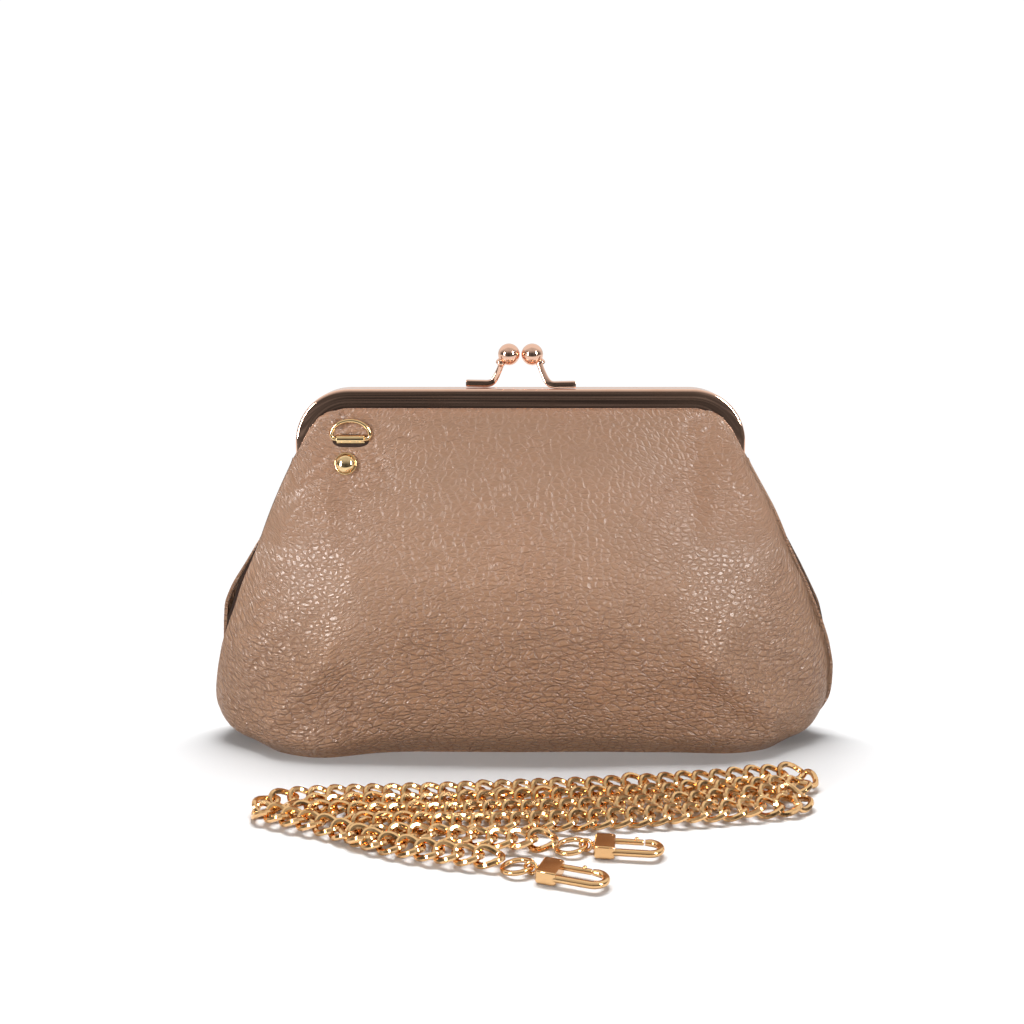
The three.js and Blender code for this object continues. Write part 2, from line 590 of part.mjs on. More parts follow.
function clasp(name, place, heading, ringHeading, ringTilt) {
  const group = new THREE.Group();
  group.position.set(...place);
  group.rotation.z = rad(heading);
  strap.add(group);
  const reach = (claspWidth - hookWire) / 2;

  const eyeBack = -eyeRadius - eyeWire / 2 - gap;
  const post = rod(0.8, [eyeBack + eyeRadius - 0.3, 0, 0], [claspLength * 0.4, 0, 0], 12);
  const eye = ringSolid(eyeRadius, eyeWire / 2, 14, 6).rotateX(Math.PI / 2).translate(eyeBack, 0, 0);
  add(`${name}_swivel`, join(eye, post), warmGold, group);
  const ring = ringSolid(endRingRadius, endRingWire / 2, 22, 6).rotateX(rad(ringTilt));
  ring.translate(-endRingRadius, 0, 0).rotateY(-Math.asin((place[2] - endRingWire / 2 - 0.1) / (2 * endRingRadius)));
  ring.rotateZ(rad(ringHeading)).translate(eyeBack, 0, 0);
  add(`${name}_ring`, ring, warmGold, group);

  const body = block([0, -claspWidth / 2, -claspThick / 2], [claspLength, claspWidth / 2, claspThick / 2]);
  const bore = rod(0.8 + gap, [-1, 0, 0], [claspLength * 0.4 + gap, 0, 0], 12);
  const near = claspLength - 1;
  const tip = claspLength + hookReach - reach - hookWire / 2;
  const bend = Array.from({ length: 13 }, (_, i) => {
    const turn = rad(-90 + i * 15);
    return new THREE.Vector3(tip + reach * Math.cos(turn), reach * Math.sin(turn), 0);
  });
  const line = [new THREE.Vector3(near, -reach, 0), new THREE.Vector3(tip * 0.75, -reach, 0), ...bend,
    new THREE.Vector3(tip - 1.2, reach, 0)];
  const wire = new THREE.ExtrudeGeometry(oval(hookWire / 2, hookWire / 2, 8), {
    steps: 22, bevelEnabled: false, extrudePath: new THREE.CatmullRomCurve3(line, false, "centripetal") });
  const notch = block([claspLength - 2.4, reach - gateWire / 2 - 0.9, -claspThick],
    [claspLength + 1, claspWidth, claspThick]);
  const pinHole = rod(0.5 + gap, [claspLength - 1.2, reach, -claspThick], [claspLength - 1.2, reach, claspThick], 10);
  add(`${name}_hook`, join(cut(body, bore, slotFor(notch), pinHole), wire), warmGold, group);

  const gate = join(rod(gateWire / 2, [claspLength - 1.2, reach, 0], [tip - 1.2 - gap, reach, 0], 12),
    rod(gateWire / 2 + 0.2, [claspLength - 1.2, reach, -1.1], [claspLength - 1.2, reach, 1.1], 12));
  const gateEye = rod(0.5 + gap, [claspLength - 1.2, reach, -3], [claspLength - 1.2, reach, 3], 10);
  add(`${name}_gate`, cut(gate, gateEye), warmGold, group);
  add(`${name}_gate_pin`, rod(0.5, [claspLength - 1.2, reach, -claspThick / 2 + 0.1],
    [claspLength - 1.2, reach, claspThick / 2 - 0.1], 10), warmGold, group);
  return group;
}

// The notch is open at the front and far side, and leaves a cheek above and below the gate.
function slotFor(notch) {
  const cheek = 0.9;
  notch.computeBoundingBox();
  const { min, max } = notch.boundingBox;
  return block([min.x, min.y, -claspThick / 2 + cheek], [max.x, max.y, claspThick / 2 - cheek]);
}

clasp("clasp_a", [24.4, -109.6, 2.7], -7, 0, 0);
clasp("clasp_b", [5.4, -126.2, 2.7], -20, -10, 0);

export default purse;
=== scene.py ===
"""Frame purse in pebbled leather with a kiss lock, D-rings and a detachable curb-chain strap.

Lengths inside the shape functions are millimetres and become metres when a mesh is made. The front faces -Y.
"""
import math

import bpy
import numpy as np
from bpy.props import FloatProperty, FloatVectorProperty, IntProperty, PointerProperty
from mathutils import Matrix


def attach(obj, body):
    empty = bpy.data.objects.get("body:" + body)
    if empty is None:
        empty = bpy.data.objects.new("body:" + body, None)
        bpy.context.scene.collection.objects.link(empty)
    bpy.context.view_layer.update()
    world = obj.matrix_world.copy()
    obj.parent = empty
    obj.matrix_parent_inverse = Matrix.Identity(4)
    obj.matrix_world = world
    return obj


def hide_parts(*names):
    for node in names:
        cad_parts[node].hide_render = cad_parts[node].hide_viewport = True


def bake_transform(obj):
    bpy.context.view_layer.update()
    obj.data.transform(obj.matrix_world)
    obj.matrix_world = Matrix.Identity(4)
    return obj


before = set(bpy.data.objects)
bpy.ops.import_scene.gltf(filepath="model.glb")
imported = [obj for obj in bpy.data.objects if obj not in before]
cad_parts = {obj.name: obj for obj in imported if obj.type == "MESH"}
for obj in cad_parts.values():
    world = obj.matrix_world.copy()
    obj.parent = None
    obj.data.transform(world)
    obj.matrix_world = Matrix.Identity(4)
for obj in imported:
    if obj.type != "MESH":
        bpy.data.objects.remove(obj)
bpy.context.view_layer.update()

bl_info = {
    "name": "Frame Purse",
    "version": (1, 0, 0),
    "blender": (4, 5, 0),
    "location": "View3D > Sidebar > Purse",
    "description": "Builds a kiss-lock frame purse with a chain strap on its packed frame",
    "category": "Add Mesh",
}

MM = 0.001


# ---- settings
def length_setting(name, description, millimetres):
    return FloatProperty(name=name, description=description, default=millimetres * MM, unit="LENGTH")


def power_setting(name, description, watts):
    return FloatProperty(name=name, description=description, default=watts, unit="POWER")


def colour_setting(name, description, *colour):
    return FloatVectorProperty(
        name=name, description=description, default=colour, subtype="COLOR", size=3, min=0, max=1)


class PurseLeatherSettings(bpy.types.PropertyGroup):
    thickness: length_setting("Thickness", "Thickness of the leather", 1.4)
    colour: colour_setting("Leather colour", "Colour of the pebbled leather", 0.492, 0.284, 0.178)
    pebble: length_setting("Pebble size", "Distance between pebbles of the grain", 2.3)
    columns: IntProperty(name="Columns", description="Quads across a panel", default=288, min=40)


class PurseMetalSettings(bpy.types.PropertyGroup):
    rose: colour_setting("Frame colour", "Rose gold of the frame and the lock", 0.84, 0.53, 0.39)
    pale: colour_setting("Ring colour", "Pale gold of the D-rings and rivets", 0.86, 0.62, 0.33)
    warm: colour_setting("Chain colour", "Warm gold of the strap", 0.79, 0.49, 0.235)
    ball: length_setting("Ball radius", "Radius of a lock ball", 4.4)


class PurseStrapSettings(bpy.types.PropertyGroup):
    pitch: length_setting("Link pitch", "From link to link", 6.9)
    wire: length_setting("Link wire", "Wire of a link", 2.3)
    width: length_setting("Chain width", "Across a link, outside", 9.4)


class PurseStudioSettings(bpy.types.PropertyGroup):
    overhead: power_setting("Overhead light", "Power of the overhead light", 11.6)
    side: power_setting("Side light", "Power of each front softbox", 1.7)
    sheen: power_setting("Sheen light", "Power of each softbox as gloss sees it", 5.4)


# ---- numbers and shapes
def smooth(value, low, high):
    """Smoothstep: 0 below low, 1 above high, 3t^2 - 2t^3 between them."""
    t = np.clip((value - low) / (high - low), 0, 1)
    return t * t * (3 - 2 * t)


def bell(off):
    """Gaussian bell: exp(-off^2 / 2)."""
    return np.exp(-0.5 * off ** 2)


def curve_of(table, value, blur=3.0):
    """A table of (place, value) rows read as straight runs and rounded by a Gaussian of width blur."""
    places, values = np.array(table, float).T
    step = 0.25
    grid = np.arange(places[0] - 4 * blur, places[-1] + 4 * blur, step)
    reach = int(4 * blur / step)
    weights = bell(np.arange(-reach, reach + 1) * step / blur)
    padded = np.pad(np.interp(grid, places, values), reach, mode="edge")
    return np.interp(value, grid, np.convolve(padded, weights / weights.sum(), mode="valid"))


def unit(ways):
    """Directions brought to length 1."""
    return ways / np.linalg.norm(ways, axis=-1, keepdims=True)


def rounded(points, radius, steps=6):
    """A closed outline whose corners are quadratic Beziers of the given reach."""
    points = np.array(points, float)
    reach = np.reshape(radius, (-1, 1))
    t = np.linspace(0, 1, steps)[:, None, None]

    def towards(other):
        size = np.linalg.norm(other - points, axis=1, keepdims=True)
        return points + (other - points) / size * np.minimum(reach, size * 0.49)

    start, end = towards(np.roll(points, 1, 0)), towards(np.roll(points, -1, 0))
    arc = (1 - t) ** 2 * start + 2 * t * (1 - t) * points + t ** 2 * end
    return arc.transpose(1, 0, 2).reshape(-1, 2)


def power_wave(wave, power):
    """A sine or cosine raised to a power, with its sign kept."""
    return np.sign(wave) * np.abs(wave) ** power


def oval(half_side, half_up, sides, square=2.0):
    """Superellipse section: |a/half_side|^square + |b/half_up|^square = 1."""
    turn = (np.arange(sides) + 0.5) / sides * 2 * np.pi
    return np.stack([half_side * power_wave(np.cos(turn), 2 / square),
                     half_up * power_wave(np.sin(turn), 2 / square)], 1)


def lengths(line):
    """The length of a line up to each of its points."""
    return np.concatenate([[0], np.cumsum(np.linalg.norm(np.diff(line, axis=0), axis=1))])


def read_at(at, run, line):
    """Points at given lengths along a line."""
    return np.stack([np.interp(at, run, line[:, k]) for k in range(line.shape[1])], 1)


def catmull(points, count):
    """Catmull-Rom line through points, read again at count even steps of length."""
    points = np.array(points, float)
    padded = np.vstack([2 * points[0] - points[1], points, 2 * points[-1] - points[-2]])
    p0, p1, p2, p3 = padded[:-3], padded[1:-2], padded[2:-1], padded[3:]
    t = np.linspace(0, 1, 24, endpoint=False)[:, None, None]
    line = 0.5 * (2 * p1 + (p2 - p0) * t + (2 * p0 - 5 * p1 + 4 * p2 - p3) * t ** 2
                  + (3 * p1 - p0 - 3 * p2 + p3) * t ** 3)
    line = line.transpose(1, 0, 2).reshape(-1, points.shape[1])
    return even(np.vstack([line, points[-1]]), count)


def even(line, count, closed=False):
    """The same line read at count even steps of its length."""
    run = lengths(line)
    return read_at(np.linspace(0, run[-1], count, endpoint=not closed), run, line)


def grid_faces(rows, columns, wrap_rows=False, wrap_columns=False, start=0):
    """Quads of a grid of points, joined round at the ends where asked."""
    r = np.arange(rows if wrap_rows else rows - 1)[:, None]
    c = np.arange(columns if wrap_columns else columns - 1)[None, :]
    r2, c2 = (r + 1) % rows, (c + 1) % columns
    quads = np.stack([r * columns + c, r * columns + c2, r2 * columns + c2, r2 * columns + c], -1)
    return quads.reshape(-1, 4) + start


def volume(points, quads):
    """Signed volume under a set of quads: the sum of their tetrahedra to the origin."""
    a, b, c, d = (points[quads[:, k]] for k in range(4))
    return float((np.einsum("ij,ij->i", a, np.cross(b, c)) + np.einsum("ij,ij->i", a, np.cross(c, d))).sum())


def shell(points, rows, columns, wrap_rows=False):
    """A grid of points as a closed shell whose faces point outwards. Caps close its first and last rows."""
    points = points.reshape(-1, 3)
    quads = grid_faces(rows, columns, wrap_rows, True)
    flip = volume(points - points.mean(0), quads) < 0
    if flip:
        quads = quads[:, ::-1]
    faces = quads.tolist()
    if not wrap_rows:
        first = list(range(columns))
        last = [(rows - 1) * columns + k for k in range(columns)]
        faces += [first, last[::-1]] if flip else [first[::-1], last]
    return points, faces


def sweep(line, section, up, closed=False, scale=None):
    """A section carried along a line: side = tangent x up, and each point is line + a side + b normal."""
    tangent = unit((np.roll(line, -1, 0) - np.roll(line, 1, 0)) if closed else np.gradient(line, axis=0))
    side = unit(np.cross(tangent, np.broadcast_to(np.array(up, float), tangent.shape)))
    normal = np.cross(side, tangent)
    section = np.broadcast_to(section, (len(line),) + section.shape[-2:])
    if scale is not None:
        section = section * np.reshape(scale, (-1, 1, 1))
    points = line[:, None] + side[:, None] * section[..., :1] + normal[:, None] * section[..., 1:]
    return shell(points, len(line), section.shape[1], wrap_rows=closed)


def frame_of(axis):
    """A direction of length 1, and two more at right angles to it."""
    axis = unit(np.array(axis, float))
    side = unit(np.cross(axis, [0, 0, 1] if abs(axis[2]) < 0.9 else [1, 0, 0]))
    return axis, side, np.cross(axis, side)


def circle(count, side, other):
    """Even steps round a circle of radius 1: cos(t) side + sin(t) other."""
    turn = np.arange(count) / count * 2 * np.pi
    return np.cos(turn)[:, None] * side + np.sin(turn)[:, None] * other


def lathe(profile, centre, axis, sides=40):
    """A profile of (radius, height) turned round an axis through centre."""
    profile = np.array(profile, float)
    axis, side, other = frame_of(axis)
    radius = np.maximum(profile[:, 0], 1e-3)[:, None, None]
    height = profile[:, 1][:, None, None]
    points = np.array(centre, float) + radius * circle(sides, side, other) + height * axis
    return shell(points, len(profile), sides)


def ball(centre, radius, rows=26, sides=44):
    """A sphere as a turned half circle."""
    turn = np.linspace(-0.5, 0.5, rows) * np.pi
    return lathe(np.stack([radius * np.cos(turn), radius * np.sin(turn)], 1), centre, (0, 0, 1), sides)


def ring(centre, radius, wire, axis, around=48, sides=16):
    """A torus: a circle of wire carried round a circle."""
    axis, side, other = frame_of(axis)
    line = np.array(centre, float) + radius * circle(around, side, other)
    return sweep(line, oval(wire, wire, sides), axis, closed=True)


def about_z(degrees):
    """The matrix of a turn about Z."""
    c, s = math.cos(math.radians(degrees)), math.sin(math.radians(degrees))
    return np.array([[c, -s, 0], [s, c, 0], [0, 0, 1]])


def new_object(name, data):
    """An object that holds the data, linked to the scene."""
    holder = bpy.data.objects.new(name, data)
    bpy.context.scene.collection.objects.link(holder)
    return holder


def add_piece(name, parts, look, body, replaces=(), turn=0.0, place=(0, 0, 0), crease=40.0, uv=None):
    """Shells in millimetres, turned about Z and then moved, as one object in metres that rides on a body."""
    verts, faces, start = [], [], 0
    for points, polygons in parts:
        verts.append(points @ about_z(turn).T + np.array(place, float))
        faces += [[start + k for k in f] for f in polygons]
        start += len(points)
    mesh = bpy.data.meshes.new(name)
    mesh.from_pydata((np.vstack(verts) * MM).tolist(), [], faces)
    mesh.polygons.foreach_set("use_smooth", np.ones(len(mesh.polygons), bool))
    mesh.set_sharp_from_angle(angle=math.radians(crease))
    if uv is not None:
        layer = mesh.uv_layers.new(name="grain")
        corner = np.empty(len(mesh.loops), np.int32)
        mesh.loops.foreach_get("vertex_index", corner)
        layer.data.foreach_set("uv", uv[corner].astype(np.float32).ravel())
    mesh.materials.append(finish(look))
    mesh.update()
    piece = new_object(name, mesh)
    if body:
        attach(piece, body)
    if replaces:
        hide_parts(*replaces)
    return piece


def fold_piece(name, side, outer, inner, look, replaces, more=(), uv=None):
    """A sheet between two skins, with any more shells, turned to its side and baked in place, on no body."""
    parts = [two_skins(outer, inner), *more]
    piece = add_piece(name, parts, look, None, replaces, SIDES[side], crease=70, uv=uv)
    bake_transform(piece)


# ---- finishes
def maths(operation, reflected=False):
    """A method that adds a Math node on the value and what it is given, in their order or reflected."""
    def apply(value, *others):
        values = (*others, value) if reflected else (value, *others)
        node = value.finish.node("ShaderNodeMath", {"operation": operation}, dict(enumerate(values)))
        return Value(value.finish, node.outputs[0])
    return apply


class Value:
    """A number in a material: the operators add Math nodes, and numbers alone are left to Python."""
    __add__ = __radd__ = maths("ADD")
    __sub__ = maths("SUBTRACT")
    __rsub__ = maths("SUBTRACT", reflected=True)
    __mul__ = __rmul__ = maths("MULTIPLY")
    __pow__ = maths("POWER")
    __rpow__ = maths("POWER", reflected=True)
    least = maths("MINIMUM")
    most = maths("MAXIMUM")
    sine = maths("SINE")

    def __init__(self, finish, socket):
        self.finish, self.socket = finish, socket

    def between(self, low, high, bottom=0.0, top=1.0):
        """Smoothstep of the value from low to high, given as bottom to top."""
        node = self.finish.node("ShaderNodeMapRange", {"interpolation_type": "SMOOTHSTEP"}, {
            "Value": self, "From Min": low, "From Max": high, "To Min": bottom, "To Max": top})
        return Value(self.finish, node.outputs[0])


class Finish:
    """The node tree of one material or world."""

    def __init__(self, name, holder=None):
        self.holder = holder or bpy.data.materials.new(name)
        self.holder.use_nodes = True
        self.tree = self.holder.node_tree
        self.tree.nodes.clear()

    def node(self, kind, settings=None, sockets=None):
        """A node with its settings made first, and then the values or links of its sockets."""
        node = self.tree.nodes.new(kind)
        for key, setting in (settings or {}).items():
            setattr(node, key, setting)
        for key, value in (sockets or {}).items():
            self.plug(self.socket(node.inputs, key), value)
        return node

    @staticmethod
    def socket(sockets, key):
        """The socket with a number, or the one in use with a name."""
        if isinstance(key, int):
            return sockets[key]
        return next(s for s in sockets if s.name == key and s.enabled)

    def plug(self, socket, value):
        if isinstance(value, Value):
            self.tree.links.new(value.socket, socket)
        elif isinstance(value, tuple) and socket.type == "RGBA":
            socket.default_value = (*value, 1)
        else:
            socket.default_value = value

    def out(self, node, key=0):
        return Value(self, self.socket(node.outputs, key))

    def coordinates(self, kind="Object"):
        return self.out(self.node("ShaderNodeTexCoord"), kind)

    def axes(self, vector):
        parts = self.node("ShaderNodeSeparateXYZ", None, {0: vector})
        return [self.out(parts, axis) for axis in "XYZ"]

    def scaled(self, vector, scale):
        return self.out(self.node("ShaderNodeMapping", None, {"Vector": vector, "Scale": scale}))

    def noise(self, where, scale, detail=3.0, rough=0.55, key="Fac"):
        return self.out(self.node("ShaderNodeTexNoise", None, {
            "Vector": where, "Scale": scale, "Detail": detail, "Roughness": rough}), key)

    def cells(self, where, size, feature="DISTANCE_TO_EDGE"):
        return self.out(self.node("ShaderNodeTexVoronoi", {"voronoi_dimensions": "2D", "feature": feature}, {
            "Vector": where, "Scale": 1 / size}), "Distance")

    def blend(self, share, first, second):
        return self.out(self.node("ShaderNodeMix", {"data_type": "RGBA"}, {
            "Factor": share, "A": first, "B": second}), "Result")

    def mix(self, share, first, second):
        """Two shaders blended by a share."""
        return self.out(self.node("ShaderNodeMixShader", None, {0: share, 1: first, 2: second}))

    def surface(self, base, roughness, height, distance, strength=1.0, **more):
        """The material of a surface with a colour, a roughness and a height that bumps it."""
        bump = self.out(self.node("ShaderNodeBump", None, {
            "Strength": strength, "Distance": distance, "Height": height}))
        shader = self.out(self.node("ShaderNodeBsdfPrincipled", None, {
            "Base Color": base, "Roughness": roughness, "Normal": bump, **more}))
        return self.shaded(shader)

    def shaded(self, shader, target="ShaderNodeOutputMaterial"):
        self.node(target, None, {"Surface": shader})
        return self.holder


def tinted(colour, red, green, blue):
    """A colour whose three parts are scaled."""
    return colour[0] * red, colour[1] * green, colour[2] * blue


def leather_finish(name, colour, pebble):
    """Pebbled leather: domed cells parted by creases, a fine second grain, long wrinkles, mottling, painted
    shade and highlight.
    """
    f = Finish(name)
    place = f.out(f.node("ShaderNodeUVMap", {"uv_map": "grain"}))
    run = f.axes(place)[1]
    low = run.between(0.060, 0.135, 1.0, 0.0)
    calm = run.between(0.120, 0.150, 1.0, 0.62)
    broad = f.noise(place, 16, 3)
    shift = f.out(f.node("ShaderNodeVectorMath", {"operation": "MULTIPLY_ADD"}, {
        0: f.noise(place, 210, 3, 0.5, "Color"), 1: (pebble * 1.1, pebble * 1.1, 0), 2: place}))
    where = f.scaled(shift, (0.80, 1.16, 1))
    crease = f.cells(where, pebble).between(0.0, 0.26)
    dome = 1 - f.cells(where, pebble, "F1") ** 2.0
    fine = f.cells(where, pebble / 2.4).between(0.0, 0.3)
    wrinkle = f.cells(f.scaled(where, (0.50, 1.05, 1)), pebble / 0.80).between(0.0, 0.15)
    folds = (broad.between(0.44, 0.62) * 0.6 + low * 0.75).least(1.0)
    depth = f.noise(place, 26, 2).between(0.32, 0.62, 0.68, 1.0)
    pebbles = (crease * 0.8 + dome * 0.42) * depth * calm * (low * 0.25 + 0.75)
    height = pebbles + fine * 0.08 + wrinkle * folds * 0.9
    # Painted shade and highlight: this mask of the crease and wrinkle hollows carries the crease tints below.
    crease_shade_and_highlight = (1 - crease) * 0.55 * depth + (1 - wrinkle) * folds * 0.8
    base = f.blend(broad.between(0.35, 0.7), colour, tinted(colour, 1.06, 1.0, 0.96))
    # Painted shade: the lower part of the leather, where it turns down towards the floor, is tinted darker
    # and warmer.
    base = f.blend(low * 0.6, base, tinted(colour, 0.98, 0.90, 0.74))
    # Painted light in the creases: higher up they are tinted paler, a painted highlight where their lips
    # catch the light; low down they are tinted darker, painted shade.
    pale, dark = tinted(colour, 1.16, 1.16, 1.18), tinted(colour, 0.60, 0.50, 0.42)
    base = f.blend(crease_shade_and_highlight.least(1.0) * (low * 0.3 + 0.5), base, f.blend(low * 0.75 + 0.25, pale, dark))
    rough = 0.24 + f.noise(place, 500, 2) * 0.12 + (1 - crease) * 0.2
    return f.surface(base, rough, height, 0.00034, **{"Specular IOR Level": 0.6})


def metal_finish(name, colour, rough=0.06, wear=0.05):
    """Polished plating: tiny scratches, faint waviness, and duller patches."""
    f = Finish(name)
    place = f.coordinates()
    patches = f.noise(place, 90, 4)
    scratch = f.noise(f.scaled(place, (60, 900, 900)), 6, 2).between(0.68, 0.78)
    roughness = rough + patches.between(0.45, 0.75) * wear + scratch * 0.10
    shade = f.blend(patches.between(0.4, 0.8), colour, tinted(colour, 0.94, 0.9, 0.86))
    return f.surface(shade, roughness, patches, 0.00004, 0.10, Metallic=1.0)


def cloth_finish(name, colour, thread=0.00045):
    """Plain weave: two crossed waves of threads, with slubs."""
    f = Finish(name)
    place = f.coordinates()
    across, _, up = f.axes(place)
    turn = math.pi / thread
    slub = f.noise(place, 400, 3)
    height = (across * turn).sine() * (up * turn).sine() * 0.5 + slub * 0.6
    base = f.blend(slub.between(0.3, 0.7), colour, tinted(colour, 0.75, 0.75, 0.75))
    return f.surface(base, 0.9, height, 0.0002, 0.5, **{"Sheen Weight": 0.3})


def fibre_finish(name, colour, scale=900.0):
    """Felt, board or paper: matted fibres."""
    f = Finish(name)
    fibres = f.noise(f.coordinates(), scale, 6, 0.75)
    base = f.blend(fibres.between(0.3, 0.7), colour, tinted(colour, 0.7, 0.7, 0.7))
    return f.surface(base, 0.95, fibres, 0.0003, 0.6)


FINISHES = {}


def finish(name):
    """The named finish, made the first time that it is asked for."""
    if name not in FINISHES:
        metals, hide = bpy.context.scene.purse_metals, bpy.context.scene.purse_leather
        makers = {
            "leather": lambda: leather_finish("pebbled_leather", tuple(hide.colour), hide.pebble),
            # edge: a near-black finish that paints shadow, for the seam strips and the slot rings
            "edge": lambda: fibre_finish("painted_shadow_strip", (0.055, 0.026, 0.016), 1400),
            "rose": lambda: metal_finish("rose_gold_plate", tuple(metals.rose)),
            "pale": lambda: metal_finish("pale_gold_plate", tuple(metals.pale), 0.08),
            "warm": lambda: metal_finish("warm_gold_plate", tuple(metals.warm), 0.10, 0.08),
            "cloth": lambda: cloth_finish("lining_cloth", (0.16, 0.11, 0.08)),
            # felt: its dark brown is painted shade for the side gaps where the wadding shows between the
            # panels
            "felt": lambda: fibre_finish("wadding_felt_shade", (0.10, 0.065, 0.048)),
            "board": lambda: fibre_finish("grey_board", (0.28, 0.26, 0.24), 1500),
            "paper": lambda: fibre_finish("paper_cord", (0.6, 0.48, 0.28), 2500),
        }
        FINISHES[name] = makers[name]()
    return FINISHES[name]


# ---- the purse's shared sizes
HALF_FRAME, FRAME_TOP, FRAME_CORNER = 91.0, 147.5, 22.0
# the frame's channel: its face's height, its front, its sheet, and half the gap between the two halves
FACE, CHANNEL_FRONT, WALL, MIDDLE = 7.8, 6.5, 0.9, 0.3
# heights of the hinge and of the arms' lower ends
HINGE, ARM_BOTTOM = 110.0, 116.0
# (x, height) of the D-ring's bar and of its rivet, and half the panel's width there
RING_AT, RIVET_AT, THROAT_HALF = (-68.4, 127.5), (-70.5, 117.5), 93.4
# each side and its turn about Z
SIDES = {"front": 0.0, "rear": 180.0}

# (height, half width to the left, half width to the right) of each panel
WIDTHS = {
    "front": ((0, 107.5, 110), (2, 111.5, 114), (3.5, 117.5, 119.5), (6, 122.6, 124.5), (10, 126, 128.6),
        (16, 128.6, 132), (22, 128.8, 132.8), (31, 127.6, 132.8), (41, 125.6, 130.6), (49, 122.8, 127.8),
        (57, 119.6, 124.4), (64, 117.4, 121.4), (69, 115.3, 119), (76, 112, 115.4), (85, 108, 110.8),
        (100, 101.2, 103.2), (110, 96.6, 97.4), (120, 91.6, 91.6)),
    "rear": ((0, 110, 110), (3, 117, 117.4), (6, 121.6, 122), (11, 126, 126.6), (17, 129, 128),
        (24, 130.6, 127.8), (32, 130.4, 126.6), (42, 129, 125.4), (50, 127.6, 125), (58, 125.6, 124.2),
        (66, 121.6, 120.6), (76, 116.4, 114), (85, 111, 108.6), (100, 102.6, 101), (110, 97.6, 97),
        (120, 92.2, 92.4)),
}
DEPTHS = ((0, 21.5), (3, 24.2), (9, 28.4), (20, 31.2), (34, 32), (52, 30), (70, 25.5), (86, 20),
    (100, 15.5), (110, 12.3), (118, 9.9), (121, 9.3), (126, 8.3), (132, 7.0), (139.7, 5.3), (148, 5.3))
FULLNESS = ((0, 7.5), (3, 6), (7, 3.6), (12, 2.4), (20, 1.9), (34, 1.5), (52, 1.3), (70, 1.15), (86, 1.1),
    (148, 1.1))
# the leather's upper edge: under the lip in the middle, folded over the band outside
UPPER_EDGE = ((0, 143.9), (67, 143.9), (71.5, 140.2), (74, 139.6), (77.5, 138.4), (81.2, 136.3),
    (85, 131.8), (87.8, 126.8), (90.2, 122.3), (91.5, 120.1), (92.6, 120.05))
PANEL_TURN = 120.0


def reach_inside(across, z):
    """How far a point lies inside the frame's outline: from its straight sides, or from its round corner."""
    past_x, past_z = across - (HALF_FRAME - FRAME_CORNER), z - (FRAME_TOP - FRAME_CORNER)
    corner = FRAME_CORNER - np.hypot(np.maximum(past_x, 0), np.maximum(past_z, 0))
    straight = np.minimum(HALF_FRAME - across, FRAME_TOP - z)
    return np.where((past_x > 0) & (past_z > 0), corner, straight)


def seam_depth(z, across):
    """The panel's depth at its side edge: at the seam below, before the hinge, in the channel above."""
    plain = MIDDLE + (5.3 - MIDDLE) * smooth(z, 75, 110)
    cover = smooth(z, 80, 105) * (1 - smooth(z, 121.5, 125))
    outside = smooth(across, 69, 79)
    return np.maximum(plain, plain + (9.0 - plain) * cover * outside)


def panel_depth(x, z, half):
    """edge + (middle - edge)(1 - share^p)^q, flat near the frame, and rolled over the band at the corners."""
    across = np.abs(x)
    share = np.clip(across / half, 0, 1)
    full = curve_of(FULLNESS, z)
    edge = seam_depth(z, across)
    middle = np.maximum(curve_of(DEPTHS, z, 1.5), edge)
    free = np.where(z < 121, 1.0, smooth(reach_inside(across, z), 8.4, 16.5))
    swell = (1 - share ** (1.2 + 1.2 * full)) ** (0.9 / np.sqrt(full))
    plain = edge + (middle - edge) * swell * free
    over = smooth(across, 68.5, 76) * smooth(z, 119, 124)
    drop = np.maximum(np.interp(across, *np.array(UPPER_EDGE).T) - z, 0)
    fold = 6.8 + 1.9 * np.sqrt(1 - (1 - np.clip(drop / 5.0, 0, 1)) ** 2)
    return np.maximum(plain, plain + (fold - plain) * over * smooth(across, 66, 80))


def ridge(x, z, start, end, width, height):
    """A bump along a line: height times a bell of the distance to it, faded at both ends."""
    (x0, z0), (run_x, run_z) = start, np.subtract(end, start)
    size = math.hypot(run_x, run_z)
    along = ((x - x0) * run_x + (z - z0) * run_z) / size ** 2
    off = ((x - x0) * run_z - (z - z0) * run_x) / size
    return height * bell(off / width) * smooth(along, -0.18, 0.15) * (1 - smooth(along, 0.85, 1.18))


